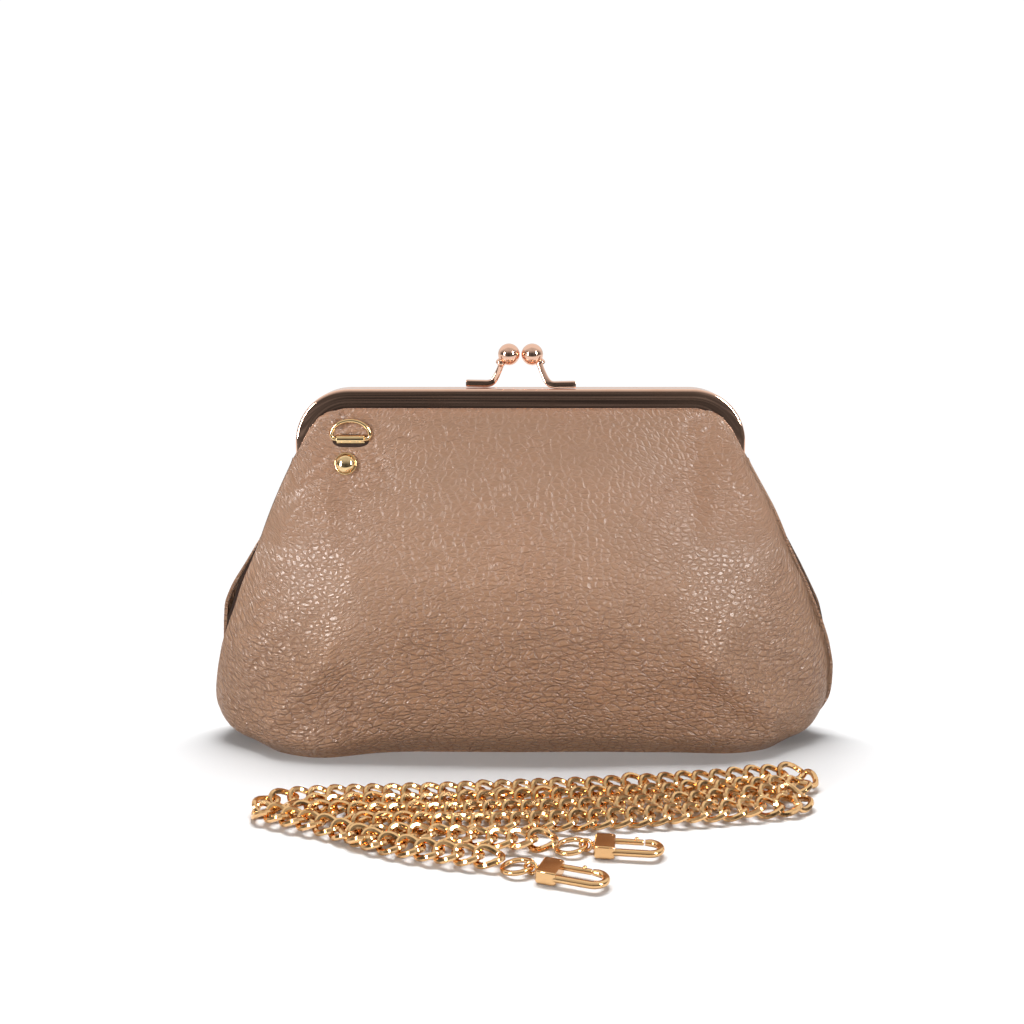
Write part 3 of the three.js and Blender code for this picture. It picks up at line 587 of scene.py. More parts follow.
# (from, to, width, height): puffs, valleys and fine creases of each panel
FOLDS = {
    "front": (((-107, 9), (-76, 42), 4.4, 3.4), ((-119, 13), (-92, 48), 5.5, -1.7),
        ((-94, 5), (-66, 32), 5.0, -0.7), ((-78, 40), (-64, 74), 9.0, 1.2), ((108, 12), (72, 42), 4.6, 3.4),
        ((119, 20), (92, 52), 6.0, -1.7), ((96, 6), (68, 32), 5.0, -0.6), ((73, 40), (66, 72), 10.0, 1.0),
        ((-113, 2), (-104, 12), 2.2, -1.6), ((114, 2), (105, 12), 2.2, -1.6),
        ((-68.2, 23), (-68.6, 14), 0.9, -1.1), ((-68.6, 15), (-67.2, 5), 0.8, -0.9),
        ((-66, 20), (-72, 15), 0.9, -0.5), ((-76, 138), (-71, 131), 0.8, -0.9),
        ((-72, 139), (-69, 133), 0.8, -0.9), ((-80, 135), (-76, 130), 0.9, -0.9),
        ((72, 139), (66, 131), 1.1, -0.5), ((77, 137), (70, 128), 1.2, -0.4),
        ((-58, 133), (-44, 128), 1.0, -0.6), ((-57, 127), (-40, 131), 1.0, -0.55),
        ((-60, 121), (-52, 112), 1.0, -0.6), ((-78, 121), (-90, 112), 1.0, -0.7),
        ((-76, 114), (-98, 104), 1.1, -0.7), ((-66, 114), (-50, 106), 1.0, -0.55),
        ((-122, 52), (-98, 66), 1.2, -0.6), ((-124, 42), (-98, 60), 1.1, -0.6),
        ((-112, 34), (-84, 58), 1.1, -0.55), ((96, 38), (124, 22), 1.2, -0.35),
        ((92, 44), (118, 34), 1.2, -0.3), ((-60, 16), (-20, 22), 1.6, -0.3),
        ((-50, 27), (0, 24), 1.8, -0.3), ((10, 20), (60, 26), 1.8, -0.35), ((0, 13), (44, 10), 1.6, -0.25),
        ((50, 9), (88, 14), 1.5, -0.3)),
    "rear": (((-108, 11), (-76, 40), 5.5, 2.0), ((-119, 18), (-92, 48), 6.0, -2.0),
        ((107, 10), (74, 38), 5.5, 2.0), ((118, 18), (92, 46), 6.0, -2.0),
        ((-78, 121), (-90, 112), 1.4, -0.4), ((-58, 132), (-44, 127), 1.3, -0.35),
        ((72, 139), (66, 131), 1.1, -0.5), ((-40, 18), (12, 24), 1.8, -0.3),
        ((20, 24), (66, 16), 1.8, -0.3)),
}


def eased(count):
    """Places from -1 to 1 that lie closer at the ends: 0.55 t + 0.45 sin(t pi/2)."""
    t = np.linspace(-1, 1, count)
    return 0.55 * t + 0.45 * np.sin(t * np.pi / 2)


def reaches(side, z):
    """How far a panel reaches to its left and to its right at each height."""
    return [curve_of(np.array(WIDTHS[side], float)[:, [0, k]], z, 1.6) for k in (1, 2)]


def spread(side, u, z):
    """x and half the width: x = half u + lean u^2, so that u = -1 and 1 are the panel's own two edges."""
    left, right = reaches(side, z)
    half = (left + right) / 2
    return half * u + (right - left) / 2 * u ** 2, half


def with_base(points, shares):
    """The rows of a skin, with rows before them that run under the purse from its middle to its edge."""
    under = []
    for share in shares:
        row = points[:1].copy()
        row[..., 1] = -MIDDLE + (row[..., 1] + MIDDLE) * share
        under.append(row)
    return np.vstack([*under, points])


def panel(side, columns, top_rows=22):
    """A panel's points: rows under the base, the upright rows, and the rows that close on the frame."""
    u = eased(columns + 1)
    rise = np.concatenate([np.linspace(0, 1, 12) ** 1.6 * 8, np.linspace(8, PANEL_TURN, 96)[1:]])
    z = np.repeat(rise[:, None], columns + 1, 1)
    x, half = spread(side, u, z)
    top = np.repeat(x[-1:], top_rows, 0)
    climb = np.interp(np.abs(top), *np.array(UPPER_EDGE).T) - PANEL_TURN
    x = np.vstack([x, top])
    z = np.vstack([z, PANEL_TURN + np.maximum(climb, 0.02) * np.linspace(0, 1, top_rows + 1)[1:, None]])
    half = np.vstack([half, np.repeat(half[-1:], top_rows, 0)])
    depth = np.where(np.abs(u) > 0.999, seam_depth(z, np.abs(x)), panel_depth(x, z, half))
    free = smooth(1 - np.abs(u), 0.0, 0.10)
    low = 1 - smooth(z, 4, 26)
    depth += free * low * (6.6 * bell((x + 82) / 14) + 2.4 * bell((x - 88) / 12))
    for fold in FOLDS[side]:
        depth += free * ridge(x, z, *fold)
    calm = smooth(FRAME_TOP - z, 9, 20) * free
    swing = 1 if side == "front" else -1
    wave = (np.sin(x / 17 + z / 23 + 1.3 * swing) * np.sin(z / 13 - x / 41 + 0.7) * 0.45
            + np.sin(x / 9.1 - z / 15 + 2.1) * np.sin(z / 7.7 + x / 29 * swing) * 0.16)
    depth += wave * calm * (1 - bell(np.hypot((x - RING_AT[0]) / 13, (z - 124) / 12)))
    depth -= 0.35 * bell(np.hypot(x - RIVET_AT[0], z - RIVET_AT[1]) / 6.5)
    slot_off = np.hypot((x - RING_AT[0]) / 6.6, (z - RING_AT[1]) / 2.9)
    depth -= 0.7 * bell(np.maximum(slot_off - 0.6, 0) / 0.5)
    return with_base(np.stack([x, -depth, z], -1), (0.02, 0.3, 0.6, 0.85))


def panel_normals(points):
    """Outward direction of a panel at each point: the cross product of its two runs."""
    across = np.gradient(points, axis=1)
    up = np.gradient(points, axis=0)
    way = np.cross(across, up)
    size = np.linalg.norm(way, axis=-1, keepdims=True)
    return way / np.maximum(size, 1e-9)


def two_skins(outer, inner):
    """Two grids of the same size, front and back, closed into one shell all round."""
    rows, columns = outer.shape[:2]
    count = rows * columns
    front = grid_faces(rows, columns)
    back = grid_faces(rows, columns, start=count)[:, ::-1]
    rim = np.concatenate([
        np.arange(columns), np.arange(1, rows) * columns + columns - 1,
        (rows - 1) * columns + np.arange(columns - 2, -1, -1), np.arange(rows - 2, 0, -1) * columns])
    ahead = np.roll(rim, -1)
    wall = np.stack([ahead, rim, rim + count, ahead + count], 1)
    quads = np.vstack([front, back, wall])
    points = np.vstack([outer.reshape(-1, 3), inner.reshape(-1, 3)])
    if volume(points, quads) < 0:
        quads = quads[:, ::-1]
    return points, quads.tolist()


def grain_map(points):
    """A flat place for each point: its run along the row from the middle, and up the column from the base."""
    across, up = (np.insert(np.cumsum(np.linalg.norm(np.diff(points, axis=way), axis=-1), way), 0, 0, way)
                  for way in (1, 0))
    across = across - across[:, across.shape[1] // 2][:, None]
    return np.stack([across, up], -1).reshape(-1, 2) * MM


# ---- the stage
class PURSE_OT_stage(bpy.types.Operator):
    """Lays the pale floor, the studio light and the camera"""
    bl_idname = "purse.stage"
    bl_label = "Stage"

    def execute(self, context):
        camera = bpy.data.cameras.new("camera")
        camera.lens, camera.sensor_width = 41.52, 36.0
        camera.clip_start, camera.clip_end = 0.01, 50
        view = new_object("camera", camera)
        view.location = (-0.00345, -0.480, 0.1895)
        view.rotation_euler = (math.radians(90 - 11), 0, 0)
        context.scene.camera = view
        context.scene.view_settings.view_transform = "Standard"
        self.floor()
        self.lights(context.scene.purse_studio)
        self.surroundings(context.scene)
        return {"FINISHED"}

    @staticmethod
    def floor():
        """A flat sheet under the object, wider than the camera sees past, that glows white far off."""
        f = Finish("studio_floor")
        place = f.coordinates()
        x, y, _ = f.axes(place)
        plain = f.out(f.node("ShaderNodeLightPath"), "Is Diffuse Ray")
        near = f.node("ShaderNodeBsdfPrincipled", None, {
            "Base Color": f.blend(plain, (0.735, 0.735, 0.74), (0.30, 0.30, 0.30)),
            "Roughness": f.noise(place, 300, 2) * 0.1 + 0.75, "Specular IOR Level": 0.0})
        far = f.node("ShaderNodeEmission", None, {"Color": (1, 1, 1), "Strength": 1.02})
        away = ((x * 0.55) ** 2.0 + y ** 2.0).between(0.012, 0.085)
        x, y = np.meshgrid(np.linspace(-2500, 2500, 11), np.linspace(-420, 3000, 11))
        points = np.stack([x, y, np.full_like(x, -0.05)], -1).reshape(-1, 3)
        mesh = bpy.data.meshes.new("floor")
        mesh.from_pydata((points * MM).tolist(), [], grid_faces(11, 11).tolist())
        mesh.materials.append(f.shaded(f.mix(away, f.out(near), f.out(far))))
        new_object("floor", mesh)

    @staticmethod
    def lights(studio):
        """An overhead light and two softboxes for plain shading, and two more that only gloss shows."""
        chest = (0, 0, 0.08)
        rows = (("overhead", (0, 0.205, 0.89), (0, -0.03, 0.0), 0.70, 0.27, studio.overhead, True),
                ("softbox_left", (-0.54, -0.52, 0.26), chest, 0.17, 0.42, studio.side * 1.4, True),
                ("softbox_right", (0.57, -0.50, 0.26), chest, 0.17, 0.42, studio.side, True),
                ("sheen_left", (-0.60, -0.52, 0.28), chest, 0.13, 0.42, studio.sheen, False),
                ("sheen_right", (0.55, -0.52, 0.40), chest, 0.13, 0.42, studio.sheen, False))
        for name, place, aim, wide, tall, power, plain in rows:
            light = bpy.data.lights.new(name, "AREA")
            light.shape, light.size, light.size_y, light.energy = "RECTANGLE", wide, tall, power
            lamp = new_object(name, light)
            x, y, z = np.subtract(aim, place)
            lamp.location = place
            lamp.rotation_euler = (math.atan2(math.hypot(x, y), -z), 0, math.atan2(-x, y))
            lamp.visible_diffuse, lamp.visible_glossy = plain, not plain

    @staticmethod
    def surroundings(scene):
        """White to the camera, dim for plain light; gloss sees a bright backdrop and a dark room in front."""
        scene.world = bpy.data.worlds.new("studio")
        f = Finish("studio", scene.world)
        way = f.coordinates("Generated")
        x, y, up = f.axes(way)
        streaks = f.noise(f.scaled(way, (1.6, 1, 16)), 1.6, 3).between(0.42, 0.66) * 0.13
        front = 0.035 + (x * x).between(0.002, 0.05, 0.0, 0.045) + streaks
        back = (y + up.most(0.0) * 0.35).between(-0.1, 0.6, 0.0, 0.68)
        bright = front + back + up.between(0.15, 0.8, 0.0, 0.55)
        paths = f.node("ShaderNodeLightPath")
        plain = f.out(paths, "Is Diffuse Ray")
        level = plain * 0.13 + (1 - plain) * bright
        grey = f.blend(level, (0, 0, 0), (1, 1, 1))
        sky = f.node("ShaderNodeBackground", None, {"Color": grey, "Strength": 1.0})
        seen = f.node("ShaderNodeBackground", None, {"Color": (1, 1, 1), "Strength": 1.05})
        f.shaded(f.mix(f.out(paths, "Is Camera Ray"), f.out(sky), f.out(seen)), "ShaderNodeOutputWorld")


# ---- the strap
CLASPS = {"clasp_a": ((24.4, -109.6, 2.7), -7.0, 0.0), "clasp_b": ((5.4, -126.2, 2.7), -20.0, -10.0)}
CLASP_LENGTH, CLASP_WIDTH, CLASP_THICK = 7.0, 10.6, 4.5
HOOK_WIRE, HOOK_REACH, GATE_WIRE = 2.5, 16.6, 2.0
EYE_RADIUS, EYE_WIRE = 1.95, 1.2
END_RING, END_WIRE = 5.1, 1.8
EYE_BACK = -EYE_RADIUS - EYE_WIRE / 2 - 0.3
HOOK_SIDE = (CLASP_WIDTH - HOOK_WIRE) / 2
GATE_PIVOT = CLASP_LENGTH - 1.2
HOOK_TIP = CLASP_LENGTH + HOOK_REACH - HOOK_SIDE - HOOK_WIRE / 2

# the strap's route on the floor, from clasp b's ring to clasp a's
STRAP_ROUTE = ((-7.8, -120.2), (-24, -117.2), (-41, -111.6), (-51, -107), (-59, -102), (-68, -96.5),
    (-80, -91.5), (-88, -87.5), (-93.5, -84.0), (-93.0, -79.0), (-87, -75.2), (-74, -73.0), (-40, -70.5),
    (13, -66.0), (60, -60.0), (97, -53.5), (106, -53.8), (108.5, -58.0), (104, -62.4), (94, -64.2),
    (60, -69.0), (13, -74.6), (-40, -78.6), (-74, -80.3), (-80.5, -83.0), (-77.5, -86.6), (-68, -87.4),
    (-40, -86.8), (13, -83.6), (60, -77.8), (90, -71.2), (99, -71.3), (102.5, -75.6), (97.5, -79.9),
    (87, -82.2), (60, -87.2), (13, -93.0), (-30, -95.6), (-50, -95.8), (-58.5, -98.0), (-57.5, -103.0),
    (-50, -104.2), (-40, -103.2), (-26, -104.6), (-7.5, -107.0), (10.2, -108.4))


class PURSE_OT_chain(bpy.types.Operator):
    """Makes the curb chain: twisted links carried along the strap's route"""
    bl_idname = "purse.chain"
    bl_label = "Chain"

    def execute(self, context):
        strap = context.scene.purse_strap
        wire, pitch = strap.wire / MM / 2, strap.pitch / MM
        side_half = strap.width / MM / 2 - wire
        twist = wire * 1.04
        route = catmull([(x, y, wire + twist) for x, y in STRAP_ROUTE], 4000)
        lean = 0.40 * np.gradient(route[:, 0]) / np.linalg.norm(np.gradient(route, axis=0), axis=1)
        route[:, 2] += side_half * np.abs(np.sin(lean)) * 0.9
        run = lengths(route)
        length = run[-1]
        count = int(round(length / pitch))
        at = (np.arange(count) + 0.5) / count * length
        rng = np.random.default_rng(7)
        middle = read_at(at, run, route)
        ahead = unit(read_at(at + 2.5, run, route) - read_at(at - 2.5, run, route))
        side = np.cross([[0, 0, 1.0]], ahead)
        roll = rng.normal(0, 0.08, count) + 0.10 * np.sin(at / 37) + 0.08 * np.sin(at / 11.3)
        middle[:, 2] += side_half * np.abs(np.sin(roll)) * 0.9
        roll = (roll + np.interp(at, run, lean))[:, None]
        up = np.cross(ahead, side)
        side, up = side * np.cos(roll) + up * np.sin(roll), up * np.cos(roll) - side * np.sin(roll)
        link, faces = self.link(pitch / 2 + wire, side_half, wire, twist)
        ways = np.stack([ahead, side, up], 1)
        points = (middle[:, None] + np.einsum("lk,ckx->clx", link, ways)).reshape(-1, 3)
        quads = (np.array(faces)[None] + (np.arange(count) * len(link))[:, None, None]).reshape(-1, 4)
        points[:, 2] = np.maximum(points[:, 2], 0.02)
        piece = add_piece("strap_chain", [(points, quads.tolist())], "warm", "strap",
                          ("chain_hank", "chain_tail_a", "chain_tail_b"))
        print("STRAP", round(length), "mm,", count, "links")
        return {"FINISHED"}

    @staticmethod
    def link(long_half, side_half, wire, twist):
        """One link: (long cos t, side sin t, -twist sin 2t), so that its two sides lean opposite ways."""
        turn = np.arange(26) / 26 * 2 * np.pi
        loop = np.stack([long_half * power_wave(np.cos(turn), 0.98),
                         side_half * power_wave(np.sin(turn), 0.94), -twist * np.sin(2 * turn)], 1)
        return sweep(loop, oval(wire, wire, 8), (0, 0, 1), closed=True)


# ---- leather
class PURSE_OT_leather(bpy.types.Operator):
    """Makes the two leather panels, from the base's middle up into the frame"""
    bl_idname = "purse.leather"
    bl_label = "Leather panels"

    def execute(self, context):
        hide = context.scene.purse_leather
        for side in SIDES:
            outer = panel(side, hide.columns)
            inner = outer - panel_normals(outer) * hide.thickness / MM
            inner[..., 1] = np.minimum(inner[..., 1], -MIDDLE)
            inner[..., 2] = np.maximum(inner[..., 2], 0.4)
            nodes = f"{side}_leather_body", f"{side}_leather_throat"
            fold_piece(f"{side}_leather", side, outer, inner, "leather", nodes,
                       uv=np.tile(grain_map(outer), (2, 1)))
        self.seams()
        return {"FINISHED"}

    @staticmethod
    def seams():
        """A thin dark strip down each side where the panels are sewn: painted shadow in the valley between
        them.
        """
        z = np.linspace(2.5, 84, 60)
        # the rear panel is turned round, so its left lies at the front's right
        pairs = zip(("seam_left", "seam_right"), (-1, 1), reaches("front", z), reversed(reaches("rear", z)))
        for name, sign, front, rear in pairs:
            out = front - 0.3 + np.minimum(1.5, 0.5 * np.maximum(rear - front, 0))
            # Each strip is painted shadow of the side valley between the panels.
            line = np.stack([sign * (out - 1.6), 0 * z, z], 1)
            add_piece(name, [sweep(line, oval(1.6, 0.24, 12, 4), (0, 1, 0))], "edge", "purse_body", crease=60)


# ---- the metal frame
def frame_line():
    """The frame's outline from one arm's end round to the other, and the way inwards at each point."""
    corner = HALF_FRAME - FRAME_CORNER
    high = FRAME_TOP - FRAME_CORNER
    turn = np.linspace(0, np.pi / 2, 22)
    arm = np.linspace(ARM_BOTTOM, high, 5)[:-1]
    top = np.linspace(-corner, corner, 34)[1:-1]
    left = np.stack([-corner - FRAME_CORNER * np.cos(turn), high + FRAME_CORNER * np.sin(turn)], 1)
    line = np.vstack([np.stack([np.full(4, -HALF_FRAME), arm], 1), left,
                      np.stack([top, np.full(len(top), FRAME_TOP)], 1),
                      left[::-1] * [-1, 1], np.stack([np.full(4, HALF_FRAME), arm[::-1]], 1)])
    inward = np.vstack([np.tile([1, 0], (4, 1)), np.stack([np.cos(turn), -np.sin(turn)], 1),
                        np.tile([0, -1], (len(top), 1)), np.stack([-np.cos(turn), -np.sin(turn)], 1)[::-1],
                        np.tile([-1, 0], (4, 1))])
    return line, inward


def channel_section():
    """The folded sheet of a frame half, as (way in from the outline, y): rim, domed face, lips, groove."""
    back, front = -MIDDLE, -CHANNEL_FRONT
    outline = [(FACE, front + WALL), (FACE, front + 0.05), (5.6, front - 0.05), (3.4, front - 0.05),
               (0, front + 0.35), (0, back), (FACE, back), (FACE, back - WALL), (WALL, back - WALL),
               (WALL, front + WALL)]
    return rounded(outline, [0.15, 0.18, 2.2, 1.4, 1.15, 0.8, 0.4, 0.4, 0.5, 0.5], 7)


def ear(low):
    """A hinge lug between x = low and low + 1.2: a plate round its eye, drawn by angle about the hinge."""
    turn = np.radians(np.linspace(128.5, 405, 40))
    reach = 3.6
    outline = np.stack([reach * np.cos(turn[8:]), reach * np.sin(turn[8:])], 1)
    shoulder = [(-1.05, 8.2), (-2.6, 8.2), (-4.3, 8.2), (-6.0, 8.2), (-6.0, 6.4), (-5.4, 4.6)]
    outline = np.vstack([shoulder, outline, [(1.5, 3.7), (0.2, 4.7), (-0.75, 5.6)]])
    angle = np.arctan2(outline[:, 1], outline[:, 0])
    hole = 1.5 * np.stack([np.cos(angle), np.sin(angle)], 1)
    loops = [np.stack([np.full(len(o), x), o[:, 0], o[:, 1] + HINGE], 1)
             for o, x in ((outline, low), (outline, low + 1.2), (hole, low + 1.2), (hole, low))]
    return shell(np.array(loops), 4, len(outline), wrap_rows=True)


class PURSE_OT_frame(bpy.types.Operator):
    """Makes the two frame halves with their hinge lugs, and the hinge rivets"""
    bl_idname = "purse.frame_halves"
    bl_label = "Frame halves"

    def execute(self, context):
        line, inward = frame_line()
        section = channel_section()
        flat = line[:, None] + inward[:, None] * section[None, :, :1]
        points = np.stack([flat[..., 0], np.broadcast_to(section[:, 1], flat.shape[:2]), flat[..., 1]], -1)
        channel = shell(points, len(line), len(section))
        for (side, turn), low in zip(SIDES.items(), (88.2, 86.4)):
            add_piece(f"{side}_frame", [channel, ear(low), ear(-low - 1.2)], "rose", f"{side}_frame",
                      (f"{side}_frame_half",), turn, crease=50)
        profile = [(0, 85.1), (2.2, 85.1), (2.6, 85.4), (2.6, 86.1), (1.2, 86.1), (1.2, 89.7), (2.6, 89.7),
                   (2.55, 90.1), (2.2, 90.45), (1.6, 90.65), (0, 90.72)]
        for side, sign in (("left", -1), ("right", 1)):
            add_piece(f"{side}_frame_rivet", [lathe(profile, (0, 0, HINGE), (sign, 0, 0), 32)], "rose",
                      "purse_body", (f"{side}_hinge_rivet",))
        return {"FINISHED"}


class PURSE_OT_lock(bpy.types.Operator):
    """Makes the kiss lock: two bent levers, each with its ball"""
    bl_idname = "purse.kiss_lock"
    bl_label = "Kiss lock"

    def execute(self, context):
        radius = context.scene.purse_metals.ball / MM
        centre = np.array([radius + MIDDLE, 0, FRAME_TOP + 13.5])
        foot = FRAME_TOP + MIDDLE + 1.3
        bends = ((22.2, -3.25, 0.1), (16.5, -3.25, 0), (12.6, -3.2, 0.1), (10.6, -2.8, 1.6), (8.7, -1.6, 5.4),
                 (7.6, -0.7, 8.2), (6.4, -0.1, 10.2))
        spine = catmull([(x, y, foot + rise) for x, y, rise in bends], 34)
        run = np.linspace(0, 1, 34)
        strip = np.array([oval(1.45 - 0.25 * smooth(r, 0.3, 0.8), 1.95 - 0.65 * smooth(r, 0.3, 0.8), 24,
                               6 - 3.4 * smooth(r, 0.35, 0.9)) for r in run])
        lever = sweep(spine, strip, (0, 1, 0), scale=1 - 0.12 * (1 - smooth(run, 0, 0.02)))
        way = unit(centre - spine[-1])
        collar = lathe([(0, -1.5), (1.55, -1.5), (1.9, -0.9), (1.9, 0.2), (1.5, 0.9), (0, 0.9)],
                       centre - way * radius * 1.02, way, 28)
        for side, turn in SIDES.items():
            body = f"{side}_frame"
            add_piece(f"{side}_lever", [lever, collar], "rose", body, (f"{side}_lock_lever",), turn,
                      crease=50)
            add_piece(f"{side}_ball", [ball(centre, radius)], "rose", body, (f"{side}_lock_ball",), turn)
        return {"FINISHED"}


# ---- D-rings, hangers and dome rivets
RING_WIRE, RING_WIDTH, RING_HEIGHT = 1.7, 17.2, 9.2
HANGER_WIDTH, HANGER_SHEET = 11.2, 0.55
BAR_Y = -7.421


def d_line():
    """The D-ring's middle line: a straight bar, two small corners and half an ellipse."""
    half, rise, corner = (RING_WIDTH - RING_WIRE) / 2, RING_HEIGHT - RING_WIRE, 1.7
    t = np.linspace(0, 1, 24)[:, None]
    quarter = t * np.pi / 2
    low = np.hstack([half - corner + corner * np.sin(quarter), corner - corner * np.cos(quarter)])
    bow = np.hstack([half * np.cos(quarter), corner + (rise - corner) * np.sin(quarter)])
    side = np.vstack([[0, 0], low, bow[1:]])
    line = even(np.vstack([side, side[-2:0:-1] * [-1, 1], [0, 0]]), 120, True)
    return np.stack([line[:, 0], np.zeros(120), line[:, 1]], 1)


class PURSE_OT_rings(bpy.types.Operator):
    """Makes the D-rings, the rolled hangers that hold them, the dome rivets, and a ring of painted shadow in
    each slot
    """
    bl_idname = "purse.ring_fittings"
    bl_label = "Ring fittings"

    def execute(self, context):
        bar = np.array([RING_AT[0], BAR_Y, RING_AT[1]])
        wire = sweep(d_line() + bar, oval(RING_WIRE / 2, RING_WIRE / 2, 16), (0, 1, 0), closed=True)
        rows = (("ring_wire", wire, "pale", "ring", ["d_ring"], 40),
                ("hanger", self.hanger(), "pale", "frame", ["ring_hanger"], 45),
                # The slot ring is painted shadow in the slot's mouth.
                ("slot_edge", self.slot_edge(), "edge", "frame", [], 40),
                ("rivet_cap", self.cap(), "pale", "frame", ["ring_rivet"], 60))
        for side, turn in SIDES.items():
            for name, part, look, body, nodes, crease in rows:
                add_piece(f"{side}_{name}", [part], look, f"{side}_{body}", [f"{side}_{n}" for n in nodes],
                          turn, crease=crease)
        return {"FINISHED"}

    @staticmethod
    def hanger():
        """A thin strip from behind the leather up and round the bar, as wide as it is along X."""
        loop = RING_WIRE / 2 + MIDDLE + HANGER_SHEET / 2
        spin = np.radians(np.linspace(-35, 292, 34))
        roll = np.stack([np.zeros(34), -loop * np.cos(spin), loop * np.sin(spin)], 1)[::-1]
        roll = roll + [0, BAR_Y, RING_AT[1]]
        tail = catmull([roll[0], (0, -5.3, RING_AT[1] - 2.0), (0, -4.3, RING_AT[1] - 4.4), (0, -4.9, 121.5),
                        (0, -6.0, 117.8), (0, -6.9, 114.6)], 20)
        line = np.vstack([tail[::-1][:-1], roll])
        line[:, 0] = RING_AT[0]
        across = np.array([1.0, 0, 0])
        normal = np.cross(across, unit(np.gradient(line, axis=0)))
        half = HANGER_WIDTH / 2
        section = rounded([(-half, -1), (half, -1), (half, 1), (-half, 1)], [0.35], 4) * [1, HANGER_SHEET / 2]
        points = line[:, None] + section[:, :1] * across + normal[:, None] * section[:, 1:]
        return shell(points, len(line), len(section))

    @staticmethod
    def slot_edge():
        """A dark flat oval ring lying on the leather round the slot that the hanger comes out of: painted
        shadow of the slot's mouth.
        """
        turn = np.arange(48) / 48 * 2 * np.pi
        x = RING_AT[0] + 6.5 * power_wave(np.cos(turn), 0.6)
        z = RING_AT[1] - 0.75 + 1.75 * np.sin(turn)
        depth = panel_depth(x, z, THROAT_HALF) - 0.45
        return sweep(np.stack([x, -depth, z], 1), oval(0.85, 0.42, 12), (0, 1, 0), closed=True)

    @staticmethod
    def cap():
        """A dome with a rolled collar: an upright rim, a waist, and a low sphere, square to the leather."""
        turn = np.radians(np.linspace(90, 0, 18))
        dome = np.stack([3.95 * np.sin(turn), 1.25 + 2.5 * np.cos(turn)], 1)
        collar = [(0, -4.6), (2.3, -4.6), (2.3, -4.0), (1.1, -4.0), (1.1, 0.3), (4.3, 0.3), (4.6, 0.55),
                  (4.6, 1.0), (4.4, 1.25), (4.05, 1.3)]
        profile = np.vstack([collar, dome])
        seat = float(panel_depth(*np.array(RIVET_AT), THROAT_HALF)) - 0.25
        return lathe(profile, (RIVET_AT[0], -seat, RIVET_AT[1]), (-0.085, -0.955, 0.285), 48)


